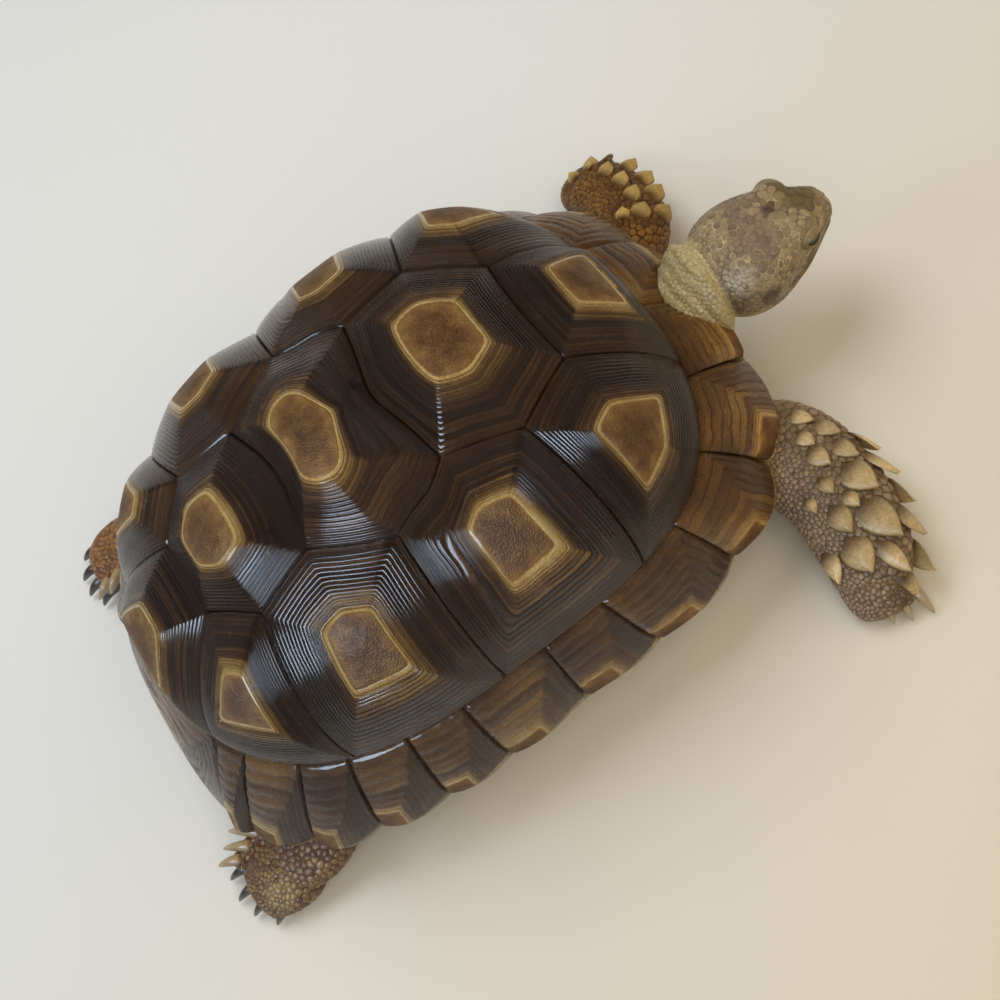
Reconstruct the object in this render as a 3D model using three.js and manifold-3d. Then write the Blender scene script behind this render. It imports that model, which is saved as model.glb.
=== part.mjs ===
import * as THREE from "three";
import { mergeVertices } from "three/addons/utils/BufferGeometryUtils.js";
import Module from "manifold-3d";

// A young sulcata tortoise, life size, standing with its head turned a little to its right, its right
// foreleg reaching out to the side, its left foreleg drawn in, and both hind feet set well back.
// Millimetres. +X is the animal's left, +Y its rear and +Z up, and its soles are on z = 0.

const SEAM_GAP = 0.3; // between neighbouring plates
const FLESH_GAP = 0.35; // between flesh and plates, and between two pieces of flesh
const PLATE_DEPTH = 2.2; // a carapace plate, below the seams
const LINING_DEPTH = 3.1; // the trunk's surface, below the seams

// The domed carapace. Its seam loop is where vertebrals and costals meet the marginals.
// Its rim loop is the free edge of the marginals.
const SEAM_LOOP = {
  halfWidth: 44,
  front: 54,
  rear: 61.5,
  height: 35,
  frontRise: -2.2,
  rearRise: 0.2,
  roundX: 0.87,
  roundY: 0.66,
  egg: -0.05,
};
const RIM_LOOP = {
  halfWidth: 50,
  front: 65.5,
  rear: 74.5,
  height: 17.4,
  frontRise: 3.7,
  rearRise: -3.5,
  roundX: 0.78,
  roundY: 0.66,
  egg: -0.02,
};
const CROWN = { y: -0.5, height: 65.6 };
const DOME_ARC = { side: 75.5, front: 67.8, rear: 66.2 }; // degrees from the crown to the seam loop
const DOME_FULLNESS = 1.5; // how far the dome stands out from its arcs, part of the way down

// Angles round the shell, in degrees from the front.
const MARGINAL_SEAMS = [0, 20.3, 41.6, 62.6, 82.8, 89.9, 98.3, 108.1, 120.6, 132.6, 148.2, 157];
const RIM_SEAM_SHIFT = [0, -6.2, -0.9, 1.2, -0.9, 0, -2.3, -3.1, -3.2, -0.5, 0, -2];
const COSTAL_SEAMS = { first: 17.4, second: 73.2, third: 92.3, fourth: 118.4, last: 157.5 };
const ANGLE_STEP = 9; // the longest step between two stations round the shell
const MARGINAL_BULGE = [0.8, 1.8, 2.6, 1.5, 0.8, 1.1, 1.3, 1.8, 2.6, 1.8, 1.6]; // scalloped free edge
const MARGINAL = { camber: 1.2, lipIn: 0.9, lip: 1.3, turn: 9.5, edgeUnder: 0.6, edgeThick: 2 };
const BRIDGE_LIP = 2.6;
const OUTWARD_Y = 0.7; // how much of an outward direction's lengthwise part is kept
const NUCHAL_NOTCH = { depth: 3.6, halfAngle: 11 };
const TAIL_TUCK = { depth: 2, halfAngle: 26 };

// Where three plates meet, left of the midline, on a flat map of the dome: [across, along], with
// the seam loop as the unit circle and the front at along = -1.
const JUNCTION = {
  v1v2: [0.189, -0.513],
  v2v3: [0.275, -0.063],
  v3v4: [0.249, 0.216],
  v4v5: [0.131, 0.561],
  c1c2: [0.334, -0.268],
  c2c3: [0.38, 0.031],
  c3c4: [0.29, 0.404],
};
const AREOLE = {
  vertebral: [-0.72, -0.27, 0.103, 0.411, 0.8].map((along) => [0, along]),
  costal: [
    [0.525, -0.474],
    [0.585, -0.044],
    [0.572, 0.198],
    [0.423, 0.577],
  ],
};
const AREOLE_SHARE = { vertebral: 0.4, costal: 0.36 }; // of the plate's own width
const AREOLE_RISE = { vertebral: 3.4, costal: 2.5 };
const AREOLE_CROWN = 0.4; // how much higher an areole's middle is than its rim
const SLOPE_SHARE = 0.55; // of the areole's rise, left halfway down to the seam
const MAP_UNIT = 62; // millimetres on the dome, about, to one unit of the map
const SIDE_STEP = 0.2; // the longest side of a plate's outline, on the map

// The plastron, as pairs of plates from front to rear. Each edge is the plate's left half,
// as [across, along] points from its front to its rear.
const PLASTRON = { under: 7, thick: 2.6, bridge: 38 };
const PLASTRON_EDGES = {
  gular: [[0, -56.5], [4, -58], [8.5, -58.6], [11, -56], [13.5, -49]],
  humeral: [[13.5, -49], [21, -46], [28, -41], [31.5, -34]],
  pectoral: [[31.5, -34], [35, -31.5], [38, -26], [38, -23]],
  abdominal: [[38, -23], [38, 20]],
  femoral: [[38, 20], [37, 25], [32, 30], [27, 38]],
  anal: [[27, 38], [24, 45], [18, 50.5], [13, 51.5], [7, 49], [0, 45]],
};
const BRIDGE = { start: [58, 70], end: [106, 118] }; // angles over which a marginal turns under

const LIMB_SIDES = 12;
const LEG_CLEARANCE = 0.6; // between the floor and a leg, so that only the feet touch it
const GROUND = { width: 400, deep: 40 };
const CLAW_ROOT = 2; // how deep a claw is rooted in its foot
const CLAW_TIP_HEIGHT = 0.9;

const COLOUR = {
  vertebral: 0x3a2414,
  costal: 0x38210f,
  marginal: 0x5d3d1c,
  plastron: 0xb9975a,
  skin: 0x8d7a5f,
  neck: 0xb3a06c,
  head: 0x95806f,
  eye: 0x15110d,
};

const wasm = await Module();
wasm.setup();

const tortoise = new THREE.Group();

function addPiece(name, geometry, colour, roughness = 0.6) {
  const material = new THREE.MeshStandardMaterial({ color: colour, roughness, metalness: 0 });
  const piece = new THREE.Mesh(geometry, material);
  piece.name = name;
  tortoise.add(piece);
}

function signedPower(value, power) {
  return Math.sign(value) * Math.abs(value) ** power;
}

function lerp(from, to, share) {
  return from + (to - from) * share;
}

// 1 in the middle of a range of angles, falling smoothly to 0 at halfAngle from it.
function hump(degrees, centre, halfAngle) {
  const away = Math.min(1, Math.abs(degrees - centre) / halfAngle);
  return 0.5 + 0.5 * Math.cos(Math.PI * away);
}

// ---- Closed meshes and solids ----

function signedVolume(points, faces) {
  return faces.reduce((sum, [a, b, c]) => {
    const side = new THREE.Vector3().crossVectors(points[b], points[c]);
    return sum + points[a].dot(side) / 6;
  }, 0);
}

// One closed mesh from corner points and triangles, turned to face out.
function closedGeometry(points, faces) {
  const turned = signedVolume(points, faces) < 0;
  const index = faces.flatMap(([a, b, c]) => (turned ? [a, c, b] : [a, b, c]));
  const geometry = new THREE.BufferGeometry().setFromPoints(points);
  geometry.setIndex(index);
  geometry.computeVertexNormals();
  return geometry;
}

// The faces of a band between two rings of equal count, each four-sided patch cut along its
// shorter diagonal, so that a mirrored body gets mirrored faces.
function bandFaces(points, first, second, count) {
  return Array.from({ length: count }, (unused, i) => {
    const beside = (i + 1) % count;
    const [a, b, c, d] = [first + i, first + beside, second + beside, second + i];
    const shorter = points[a].distanceTo(points[c]) < points[b].distanceTo(points[d]);
    return shorter ? [[a, b, c], [a, c, d]] : [[a, b, d], [b, c, d]];
  }).flat();
}

// A skin over rings of equal count. Each end is closed by a fan to the ring's middle,
// or to the tip given for it.
function skinRings(rings, startTip, endTip) {
  const count = rings[0].length;
  const points = rings.flat();
  const faces = rings
    .slice(1)
    .flatMap((unused, ring) => bandFaces(points, ring * count, (ring + 1) * count, count));
  const fan = (first, tip, outward) => {
    const middle = points.push(tip) - 1;
    for (let i = 0; i < count; i += 1) {
      const a = first + i;
      const b = first + ((i + 1) % count);
      faces.push(outward ? [a, b, middle] : [b, a, middle]);
    }
  };
  fan(0, startTip ?? middleOf(rings[0]), false);
  fan((rings.length - 1) * count, endTip ?? middleOf(rings.at(-1)), true);
  return closedGeometry(points, faces);
}

function middleOf(points) {
  const sum = points.reduce((total, point) => total.add(point), new THREE.Vector3());
  return sum.divideScalar(points.length);
}

function solidOf(geometry) {
  const bare = geometry.clone();
  bare.deleteAttribute("normal");
  bare.deleteAttribute("uv");
  const merged = mergeVertices(bare, 1e-4);
  const mesh = new wasm.Mesh({
    numProp: 3,
    vertProperties: merged.attributes.position.array,
    triVerts: new Uint32Array(merged.index.array),
  });
  return new wasm.Manifold(mesh);
}

function geometryOf(solid) {
  const mesh = solid.getMesh();
  const geometry = new THREE.BufferGeometry();
  geometry.setAttribute("position", new THREE.BufferAttribute(mesh.vertProperties, 3));
  geometry.setIndex(new THREE.BufferAttribute(mesh.triVerts, 1));
  geometry.computeVertexNormals();
  return geometry;
}

// ---- Carapace law ----

function loopPoint(loop, angle) {
  const sine = Math.sin(angle);
  const cosine = Math.cos(angle);
  const reach = cosine > 0 ? loop.front : loop.rear;
  const rise = cosine > 0 ? loop.frontRise : loop.rearRise;
  return new THREE.Vector3(
    loop.halfWidth * signedPower(sine, loop.roundX) * (1 - loop.egg * cosine),
    -reach * signedPower(cosine, loop.roundY),
    loop.height + rise * cosine ** 2,
  );
}

function domePoint(across, along) {
  const radius = Math.hypot(across, along);
  const angle = Math.atan2(across, -along);
  const edge = loopPoint(SEAM_LOOP, angle);
  const endArc = Math.cos(angle) > 0 ? DOME_ARC.front : DOME_ARC.rear;
  const degrees = DOME_ARC.side * Math.sin(angle) ** 2 + endArc * Math.cos(angle) ** 2;
  const arc = THREE.MathUtils.degToRad(degrees);
  const out = Math.sin(radius * arc) / Math.sin(arc);
  const up = (Math.cos(radius * arc) - Math.cos(arc)) / (1 - Math.cos(arc));
  return new THREE.Vector3(
    out * edge.x,
    CROWN.y + out * (edge.y - CROWN.y),
    edge.z + (CROWN.height - edge.z) * up,
  );
}

function domeNormal(across, along) {
  const step = 0.002;
  const acrossDome = domePoint(across + step, along).sub(domePoint(across - step, along));
  const alongDome = domePoint(across, along + step).sub(domePoint(across, along - step));
  return acrossDome.cross(alongDome).normalize();
}

function liftedDome([across, along], lift) {
  const share = across ** 2 + along ** 2;
  const fullness = 4 * DOME_FULLNESS * share * (1 - share);
  return domePoint(across, along).addScaledVector(domeNormal(across, along), lift + fullness);
}

// All angles at which a seam meets the seam loop, from the front (0) to the rear (180), with more
// between them wherever a step would be too long.
function stationAngles() {
  const seams = [...MARGINAL_SEAMS, ...Object.values(COSTAL_SEAMS), 180].sort((a, b) => a - b);
  const angles = [0];
  for (const seam of seams.slice(1)) {
    const last = angles.at(-1);
    const steps = Math.ceil((seam - last) / ANGLE_STEP);
    for (let step = 1; step <= steps; step += 1) {
      angles.push(lerp(last, seam, step / steps));
    }
  }
  return angles;
}

const STATIONS = stationAngles();

function onSeamLoop(degrees) {
  const angle = THREE.MathUtils.degToRad(degrees);
  return [Math.sin(angle), -Math.cos(angle)];
}

function seamLoopArc(from, to) {
  return STATIONS.filter((degrees) => degrees >= from && degrees <= to).map(onSeamLoop);
}

// ---- Vertebral and costal plates ----

function mirrored(outline) {
  return outline.map(([across, along]) => [-across, along]).reverse();
}

function withShortSides(outline) {
  return outline.flatMap((point, i) => {
    const next = outline[(i + 1) % outline.length];
    const length = Math.hypot(next[0] - point[0], next[1] - point[1]);
    const steps = Math.ceil(length / SIDE_STEP);
    return Array.from({ length: steps }, (unused, step) => [
      lerp(point[0], next[0], step / steps),
      lerp(point[1], next[1], step / steps),
    ]);
  });
}

// The outline moved in by half a seam gap.
function withGap(outline) {
  const inset = SEAM_GAP / 2 / MAP_UNIT;
  return outline.map((point, i) => {
    const before = outline.at(i - 1);
    const after = outline[(i + 1) % outline.length];
    const ahead = new THREE.Vector2(after[0] - point[0], after[1] - point[1]).normalize();
    const back = new THREE.Vector2(point[0] - before[0], point[1] - before[1]).normalize();
    const inward = new THREE.Vector2(-ahead.y - back.y, ahead.x + back.x).normalize();
    const reach = inset / inward.dot(new THREE.Vector2(-ahead.y, ahead.x));
    return [point[0] + inward.x * reach, point[1] + inward.y * reach];
  });
}

// A domed plate: its rings run from the seam up to the raised areole, and down again inside.
function plateGeometry(outline, areole, share, rise) {
  const edge = withGap(withShortSides(outline));
  const ring = (outward, lift) =>
    edge.map(([across, along]) => {
      const place = [lerp(areole[0], across, outward), lerp(areole[1], along, outward)];
      return liftedDome(place, lift);
    });
  const middleShare = (1 + share) / 2;
  return skinRings(
    [
      ring(share, rise),
      ring(middleShare, rise * SLOPE_SHARE),
      ring(1, 0),
      ring(1, -PLATE_DEPTH),
      ring(middleShare, -PLATE_DEPTH),
    ],
    liftedDome(areole, rise + AREOLE_CROWN),
    liftedDome(areole, -PLATE_DEPTH),
  );
}

// Outlines run anticlockwise on the map, seen from above with the front down.
function vertebralOutlines() {
  const { v1v2, v2v3, v3v4, v4v5, c1c2, c2c3, c3c4 } = JUNCTION;
  const both = (leftSide) => [...leftSide, ...mirrored(leftSide)];
  return [
    both([...seamLoopArc(0, COSTAL_SEAMS.first), v1v2]).filter(isFirstOfItsKind),
    both([v1v2, c1c2, v2v3]),
    both([v2v3, c2c3, v3v4]),
    both([v3v4, c3c4, v4v5]),
    both([v4v5, ...seamLoopArc(COSTAL_SEAMS.last, 180)]).filter(isFirstOfItsKind),
  ];
}

// False for a point on the midline that the mirrored half repeats.
function isFirstOfItsKind(point, i, outline) {
  const same = ([across, along]) => Math.hypot(across - point[0], along - point[1]) < 1e-6;
  return outline.findIndex(same) === i;
}

function costalOutlines() {
  const { v1v2, v2v3, v3v4, v4v5, c1c2, c2c3, c3c4 } = JUNCTION;
  const { first, second, third, fourth, last } = COSTAL_SEAMS;
  return [
    [v1v2, ...seamLoopArc(first, second), c1c2],
    [c1c2, ...seamLoopArc(second, third), c2c3, v2v3],
    [c2c3, ...seamLoopArc(third, fourth), c3c4, v3v4],
    [c3c4, ...seamLoopArc(fourth, last), v4v5],
  ];
}

function addDomePlates() {
  vertebralOutlines().forEach((outline, i) => {
    const [share, rise] = [AREOLE_SHARE.vertebral, AREOLE_RISE.vertebral];
    const geometry = plateGeometry(outline, AREOLE.vertebral[i], share, rise);
    addPiece(`vertebral_${i + 1}`, geometry, COLOUR.vertebral, 0.35);
  });
  costalOutlines().forEach((outline, i) => {
    const [share, rise] = [AREOLE_SHARE.costal, AREOLE_RISE.costal];
    const [across, along] = AREOLE.costal[i];
    const left = plateGeometry(outline, [across, along], share, rise);
    const right = plateGeometry(mirrored(outline), [-across, along], share, rise);
    addPiece(`costal_left_${i + 1}`, left, COLOUR.costal, 0.35);
    addPiece(`costal_right_${i + 1}`, right, COLOUR.costal, 0.35);
  });
}

// ---- Marginal plates ----

function marginalIndex(degrees) {
  const next = MARGINAL_SEAMS.findIndex((seam) => seam > degrees);
  return next < 0 ? MARGINAL_SEAMS.length - 1 : next - 1;
}

// How far the free edge stands out past the rim loop.
function rimFlare(degrees) {
  const i = marginalIndex(degrees);
  const notch = NUCHAL_NOTCH.depth * hump(degrees, 0, NUCHAL_NOTCH.halfAngle);
  const tuck = TAIL_TUCK.depth * hump(degrees, 180, TAIL_TUCK.halfAngle);
  if (i >= MARGINAL_BULGE.length) return -tuck;
  const share = (degrees - MARGINAL_SEAMS[i]) / (MARGINAL_SEAMS[i + 1] - MARGINAL_SEAMS[i]);
  return MARGINAL_BULGE[i] * Math.sin(Math.PI * share) - notch - tuck;
}

// The rim point below an angle on the seam loop: seams lean as they run down to the free edge.
function rimPoint(degrees) {
  const i = Math.min(marginalIndex(degrees), MARGINAL_SEAMS.length - 1);
  const start = MARGINAL_SEAMS[i];
  const end = MARGINAL_SEAMS[i + 1] ?? 180;
  const share = (degrees - start) / (end - start);
  const shift = lerp(RIM_SEAM_SHIFT[i], RIM_SEAM_SHIFT[i + 1] ?? 0, share);
  const point = loopPoint(RIM_LOOP, THREE.MathUtils.degToRad(degrees + shift));
  return point.addScaledVector(outwardAt(point), rimFlare(degrees));
}

// The level direction in which the free edge faces at a point on it.
function outwardAt(point) {
  return new THREE.Vector3(point.x, point.y * OUTWARD_Y, 0).normalize();
}

// 1 along the bridge, where marginals turn under to the plastron, and 0 at both openings.
function bridgeShare(degrees) {
  const rising = THREE.MathUtils.smoothstep(degrees, ...BRIDGE.start);
  const falling = THREE.MathUtils.smoothstep(degrees, ...BRIDGE.end);
  return rising - falling;
}

// The closed section of the marginals at one angle on the left side, from the seam down the outside
// to the free edge and back inside. grow thickens it on all sides.
function marginalSection(degrees, grow = 0) {
  const place = onSeamLoop(degrees);
  const normal = domeNormal(...place);
  const top = liftedDome(place, grow);
  const inside = liftedDome(place, -PLATE_DEPTH - grow);
  const rim = rimPoint(degrees);
  const down = rim.clone().sub(top).normalize();
  top.addScaledVector(down, SEAM_GAP / 2 - grow);
  inside.addScaledVector(down, SEAM_GAP / 2 - grow);
  const outward = outwardAt(rim);
  const bridge = bridgeShare(degrees);
  const middle = top.clone().lerp(rim, 0.5).addScaledVector(normal, MARGINAL.camber + grow);
  const edge = rim.clone().addScaledVector(outward, grow);
  const lip = rim.clone().addScaledVector(outward, grow - MARGINAL.lipIn);
  lip.z -= lerp(MARGINAL.lip, BRIDGE_LIP, bridge) + grow;
  const turnedIn = rim.clone().addScaledVector(outward, -MARGINAL.turn - grow);
  const bridgeX = PLASTRON.bridge + SEAM_GAP - grow;
  const lower = new THREE.Vector3(
    lerp(turnedIn.x, bridgeX, bridge),
    turnedIn.y,
    lerp(rim.z - MARGINAL.edgeUnder, PLASTRON.under, bridge) - grow,
  );
  const upper = lower.clone();
  upper.z += lerp(MARGINAL.edgeThick, PLASTRON.thick, bridge) + 2 * grow;
  return [top, middle, edge, lip, lower, upper, inside];
}

function mirrorPoints(points) {
  return points.map((point) => new THREE.Vector3(-point.x, point.y, point.z));
}

// Moves the end sections of a run of plates in by half a seam gap, along the run.
function withEndGaps(sections) {
  const along = (from, to) => to.map((point, i) => {
    const step = point.clone().sub(from[i]);
    return from[i].clone().add(step.setLength(SEAM_GAP / 2));
  });
  const first = along(sections[0], sections[1]);
  const last = along(sections.at(-1), sections.at(-2));
  return [first, ...sections.slice(1, -1), last];
}

function addMarginals() {
  for (let i = 0; i + 1 < MARGINAL_SEAMS.length; i += 1) {
    const inRange = (degrees) => degrees >= MARGINAL_SEAMS[i] && degrees <= MARGINAL_SEAMS[i + 1];
    const sections = STATIONS.filter(inRange).map((degrees) => marginalSection(degrees));
    const left = withEndGaps(sections);
    const right = left.map(mirrorPoints);
    addPiece(`marginal_left_${i + 1}`, skinRings(left), COLOUR.marginal, 0.4);
    addPiece(`marginal_right_${i + 1}`, skinRings(right), COLOUR.marginal, 0.4);
  }
  const half = STATIONS.filter((degrees) => degrees >= MARGINAL_SEAMS.at(-1));
  const leftHalf = half.map((degrees) => marginalSection(degrees));
  const rightHalf = leftHalf.slice(0, -1).map(mirrorPoints).reverse();
  addPiece("supracaudal", skinRings(withEndGaps([...leftHalf, ...rightHalf])), COLOUR.marginal, 0.4);
}

// The whole ring of marginals as one guard that flesh is kept clear of.
function marginalGuard() {
  const left = STATIONS.map((degrees) => marginalSection(degrees, FLESH_GAP));
  const right = left.slice(1, -1).map(mirrorPoints).reverse();
  const ring = [...left, ...right];
  const count = ring[0].length;
  const points = ring.flat();
  const faces = ring.flatMap((unused, i) =>
    bandFaces(points, i * count, ((i + 1) % ring.length) * count, count),
  );
  return solidOf(closedGeometry(points, faces));
}

// ---- Plastron ----

// A flat plate from the left half of its outline, which the right half mirrors.
function plastronSolid(edge, grow) {
  const outline = [...edge, ...edge.map(([across, along]) => [-across, along]).reverse()];
  const shape = new THREE.Shape(outline.map(([across, along]) => new THREE.Vector2(across, along)));
  const { under, thick } = PLASTRON;
  const settings = { depth: thick, bevelEnabled: grow > 0, bevelSegments: 1 };
  const plate = new THREE.ExtrudeGeometry(shape, { ...settings, bevelSize: grow, bevelThickness: grow });
  return solidOf(plate.translate(0, 0, under));
}

// The edge with both of its ends moved in by half a seam gap, except at the plastron's own ends.
function plastronEdge(name) {
  const edge = PLASTRON_EDGES[name];
  const gap = SEAM_GAP / 2;
  return edge.map(([across, along], i) => {
    const isFrontSeam = i === 0 && name !== "gular";
    const isRearSeam = i === edge.length - 1 && name !== "anal";
    return [across, along + (isFrontSeam ? gap : 0) - (isRearSeam ? gap : 0)];
  });
}

function addPlastron() {
  for (const name of Object.keys(PLASTRON_EDGES)) {
    const plate = plastronSolid(plastronEdge(name), 0);
    addPiece(`plastron_${name}`, geometryOf(plate), COLOUR.plastron, 0.5);
  }
}

function plastronGuard() {
  return plastronSolid(Object.values(PLASTRON_EDGES).flat().filter(isFirstOfItsKind), FLESH_GAP);
}

// ---- Trunk ----

const LINING_RADII = [1, 0.85, 0.6, 0.3]; // on the map of the dome, from the seam loop up
const BELLY = { gap: 0.7, widthShare: 0.76, lengthShare: 0.82 };

// The body inside the shell: the dome's lining, then in under the marginals and down to the plastron.
function trunkGeometry(grow = 0) {
  const floorZ = PLASTRON.under + PLASTRON.thick + BELLY.gap - grow;
  const left = STATIONS.map((degrees) => {
    const [across, along] = onSeamLoop(degrees);
    const lining = LINING_RADII.map((radius) =>
      liftedDome([across * radius, along * radius], grow - LINING_DEPTH),
    );
    const [, , , , , upper] = marginalSection(degrees);
    const throat = upper.clone().addScaledVector(outwardAt(upper), grow - 2 * SEAM_GAP);
    throat.z += BELLY.gap;
    const belly = new THREE.Vector3(
      throat.x * BELLY.widthShare,
      throat.y * BELLY.lengthShare,
      floorZ,
    );
    return [belly, throat, ...lining];
  });
  const right = left.slice(1, -1).map(mirrorPoints).reverse();
  const spokes = [...left, ...right];
  const rings = spokes[0].map((unused, i) => spokes.map((spoke) => spoke[i]));
  const bellyMiddle = new THREE.Vector3(0, 0, floorZ);
  return skinRings(rings, bellyMiddle, liftedDome([0, 0], grow - LINING_DEPTH));
}

// ---- Limbs, neck and tail ----

// A rounded limb through stations of [x, y, z, half width, half height]. grow thickens it.
function limbGeometry(stations, grow = 0, sides = LIMB_SIDES) {
  const centres = stations.map(([x, y, z]) => new THREE.Vector3(x, y, z));
  const rings = stations.map(([, , , wide, tall], i) => {
    const ahead = centres[Math.min(i + 1, centres.length - 1)];
    const behind = centres[Math.max(i - 1, 0)];
    const along = ahead.clone().sub(behind).normalize();
    const side = new THREE.Vector3(0, 0, 1).cross(along).normalize();
    const up = along.clone().cross(side);
    return Array.from({ length: sides }, (unused, k) => {
      const turn = (2 * Math.PI * (k + 0.5)) / sides;
      return centres[i]
        .clone()
        .addScaledVector(side, (wide + grow) * Math.cos(turn))
        .addScaledVector(up, (tall + grow) * Math.sin(turn));
    });
  });
  return skinRings(rings);
}

// A pointed horny piece, such as a claw, a thigh spur or a large scale.
function spikeSolid(base, tip, radius, sides = 6) {
  const from = new THREE.Vector3(...base);
  const to = new THREE.Vector3(...tip);
  const along = to.clone().sub(from);
  const cone = new THREE.ConeGeometry(radius, along.length(), sides, 1);
  const turn = new THREE.Quaternion().setFromUnitVectors(
    new THREE.Vector3(0, 1, 0),
    along.clone().normalize(),
  );
  cone.applyQuaternion(turn);
  const middle = from.lerp(to, 0.5);
  cone.translate(middle.x, middle.y, middle.z);
  return solidOf(cone);
}

// Everything below the given height.
function groundSolid(height) {
  const { width, deep } = GROUND;
  return solidOf(new THREE.BoxGeometry(width, width, deep).translate(0, 0, height - deep / 2));
}

// A row of claws along the front edge of a foot, which bows ahead between its two corners.
function clawSolids({ corners, bow, count, heading, fan, lengths, radius, height }) {
  const [start, end] = corners;
  const direction = (degrees) => {
    const angle = THREE.MathUtils.degToRad(degrees);
    return new THREE.Vector3(Math.cos(angle), Math.sin(angle), 0);
  };
  return Array.from({ length: count }, (unused, i) => {
    const share = i / (count - 1);
    const edge = new THREE.Vector3(...start, height).lerp(new THREE.Vector3(...end, height), share);
    edge.addScaledVector(direction(heading), bow * Math.sin(Math.PI * share));
    const ahead = direction(heading + fan * (share - 0.5));
    const root = edge.clone().addScaledVector(ahead, -CLAW_ROOT);
    const tip = edge.clone().addScaledVector(ahead, lerp(lengths[0], lengths[1], share ** 2));
    tip.z = CLAW_TIP_HEIGHT;
    return spikeSolid(root.toArray(), tip.toArray(), radius);
  });
}

function joined(solids) {
  return solids.reduce((whole, solid) => whole.add(solid));
}

// A leg and its foot. The foot takes the last stretch, so the leg is cut clear of it.
function addLimb({ name, foot, leg, sole, claws, scales, spurs }, guard) {
  const spikes = (list) => list.map(({ base, tip, radius }) => spikeSolid(base, tip, radius, 5));
  const footParts = [solidOf(limbGeometry(sole)), ...clawSolids(claws), ...spikes(spurs)];
  const clawed = joined(footParts).subtract(groundSolid(0));
  const footGuard = joined([solidOf(limbGeometry(sole, FLESH_GAP)), ...spikes(spurs)]);
  const scaled = joined([solidOf(limbGeometry(leg)), ...spikes(scales)]);
  const clearOfGround = scaled.subtract(groundSolid(LEG_CLEARANCE));
  addPiece(name, geometryOf(clearOfGround.subtract(footGuard).subtract(guard)), COLOUR.skin);
  addPiece(foot, geometryOf(clawed.subtract(guard)), COLOUR.skin);
}

const FORELEG_RIGHT = {
  name: "foreleg_right",
  foot: "forefoot_right",
  leg: [
    [-22, -44, 14.5, 8, 5],
    [-33, -58.2, 12.2, 10.8, 6.4],
    [-45, -61.2, 10.2, 10.2, 6.6],
    [-56, -59.4, 8.2, 9.4, 6],
    [-63, -56.4, 6.4, 7.6, 5],
  ],
  sole: [
    [-58, -58.4, 4.8, 5.4, 3.6],
    [-61.4, -57.2, 4.6, 7.2, 5.2],
    [-65.6, -56, 3.8, 7, 4.4],
    [-68.6, -55.2, 2.8, 5.4, 3],
  ],
  claws: {
    corners: [
      [-64.4, -50.6],
      [-68.6, -61.2],
    ],
    bow: 2.6,
    count: 5,
    heading: 162,
    fan: 44,
    lengths: [0.8, 5.2],
    radius: 1.3,
    height: 2.8,
  },
  scales: [0, 1, 2, 3, 4].map((i) => ({
    base: [-38 - 6 * i, -67.2 + 1.2 * i, 12 - 1.5 * i],
    tip: [-44.5 - 6 * i, -71.6 + 1.5 * i, 12.4 - 1.7 * i],
    radius: 2.6,
  })),
  spurs: [],
};

const FORELEG_LEFT = {
  name: "foreleg_left",
  foot: "forefoot_left",
  leg: [
    [16, -44, 14.5, 7, 4.6],
    [20.6, -57, 12.8, 8, 5.2],
    [26.6, -67, 11, 8.4, 6],
    [36, -69.4, 9.4, 7.8, 6],
    [45, -68.6, 7.2, 7.2, 5.2],
  ],
  sole: [
    [39.6, -68.8, 4.8, 4.8, 3.4],
    [43, -68.4, 4.8, 7, 5.4],
    [48, -67.8, 4, 7, 4.6],
    [51.4, -67.4, 2.8, 5.4, 3],
  ],
  claws: {
    corners: [
      [49.6, -62.6],
      [49.6, -72.6],
    ],
    bow: 2,
    count: 5,
    heading: 4,
    fan: -40,
    lengths: [1.4, 2.2],
    radius: 1.3,
    height: 2.8,
  },
  scales: [0, 1, 2, 3].map((i) => ({
    base: [25 + 5.5 * i, -73 - 0.4 * i, 12.4 - 1.3 * i],
    tip: [30.5 + 5.5 * i, -77 - 0.1 * i, 13 - 1.5 * i],
    radius: 2.4,
  })),
  spurs: [],
};

const HINDLEG_RIGHT = {
  name: "hindleg_right",
  foot: "hindfoot_right",
  leg: [
    [-21, 42, 14.4, 8, 5],
    [-30, 52, 11, 10, 6.6],
    [-35, 60, 8.2, 9.8, 6],
    [-36, 67, 6.4, 8, 5.2],
  ],
  sole: [
    [-36, 61.6, 4.4, 5.4, 3.4],
    [-36.2, 66, 4.6, 8.6, 5.6],
    [-36.4, 72, 4, 8.6, 5.2],
    [-36.4, 76.8, 3, 6.8, 3.8],
  ],
  claws: {
    corners: [
      [-42.4, 73.6],
      [-30.4, 77],
    ],
    bow: 2.2,
    count: 4,
    heading: 93,
    fan: -20,
    lengths: [4.6, 5.2],
    radius: 1.4,
    height: 2.8,
  },
  scales: [],
  spurs: [0, 1, 2].map((i) => ({
    base: [-29.8 + 0.5 * i, 75.4 - 3.5 * i, 6.4 + 1.1 * i],
    tip: [-27.6 + 2 * i, 81 - 3 * i, 6 + i],
    radius: 1.8,
  })),
};

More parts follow.
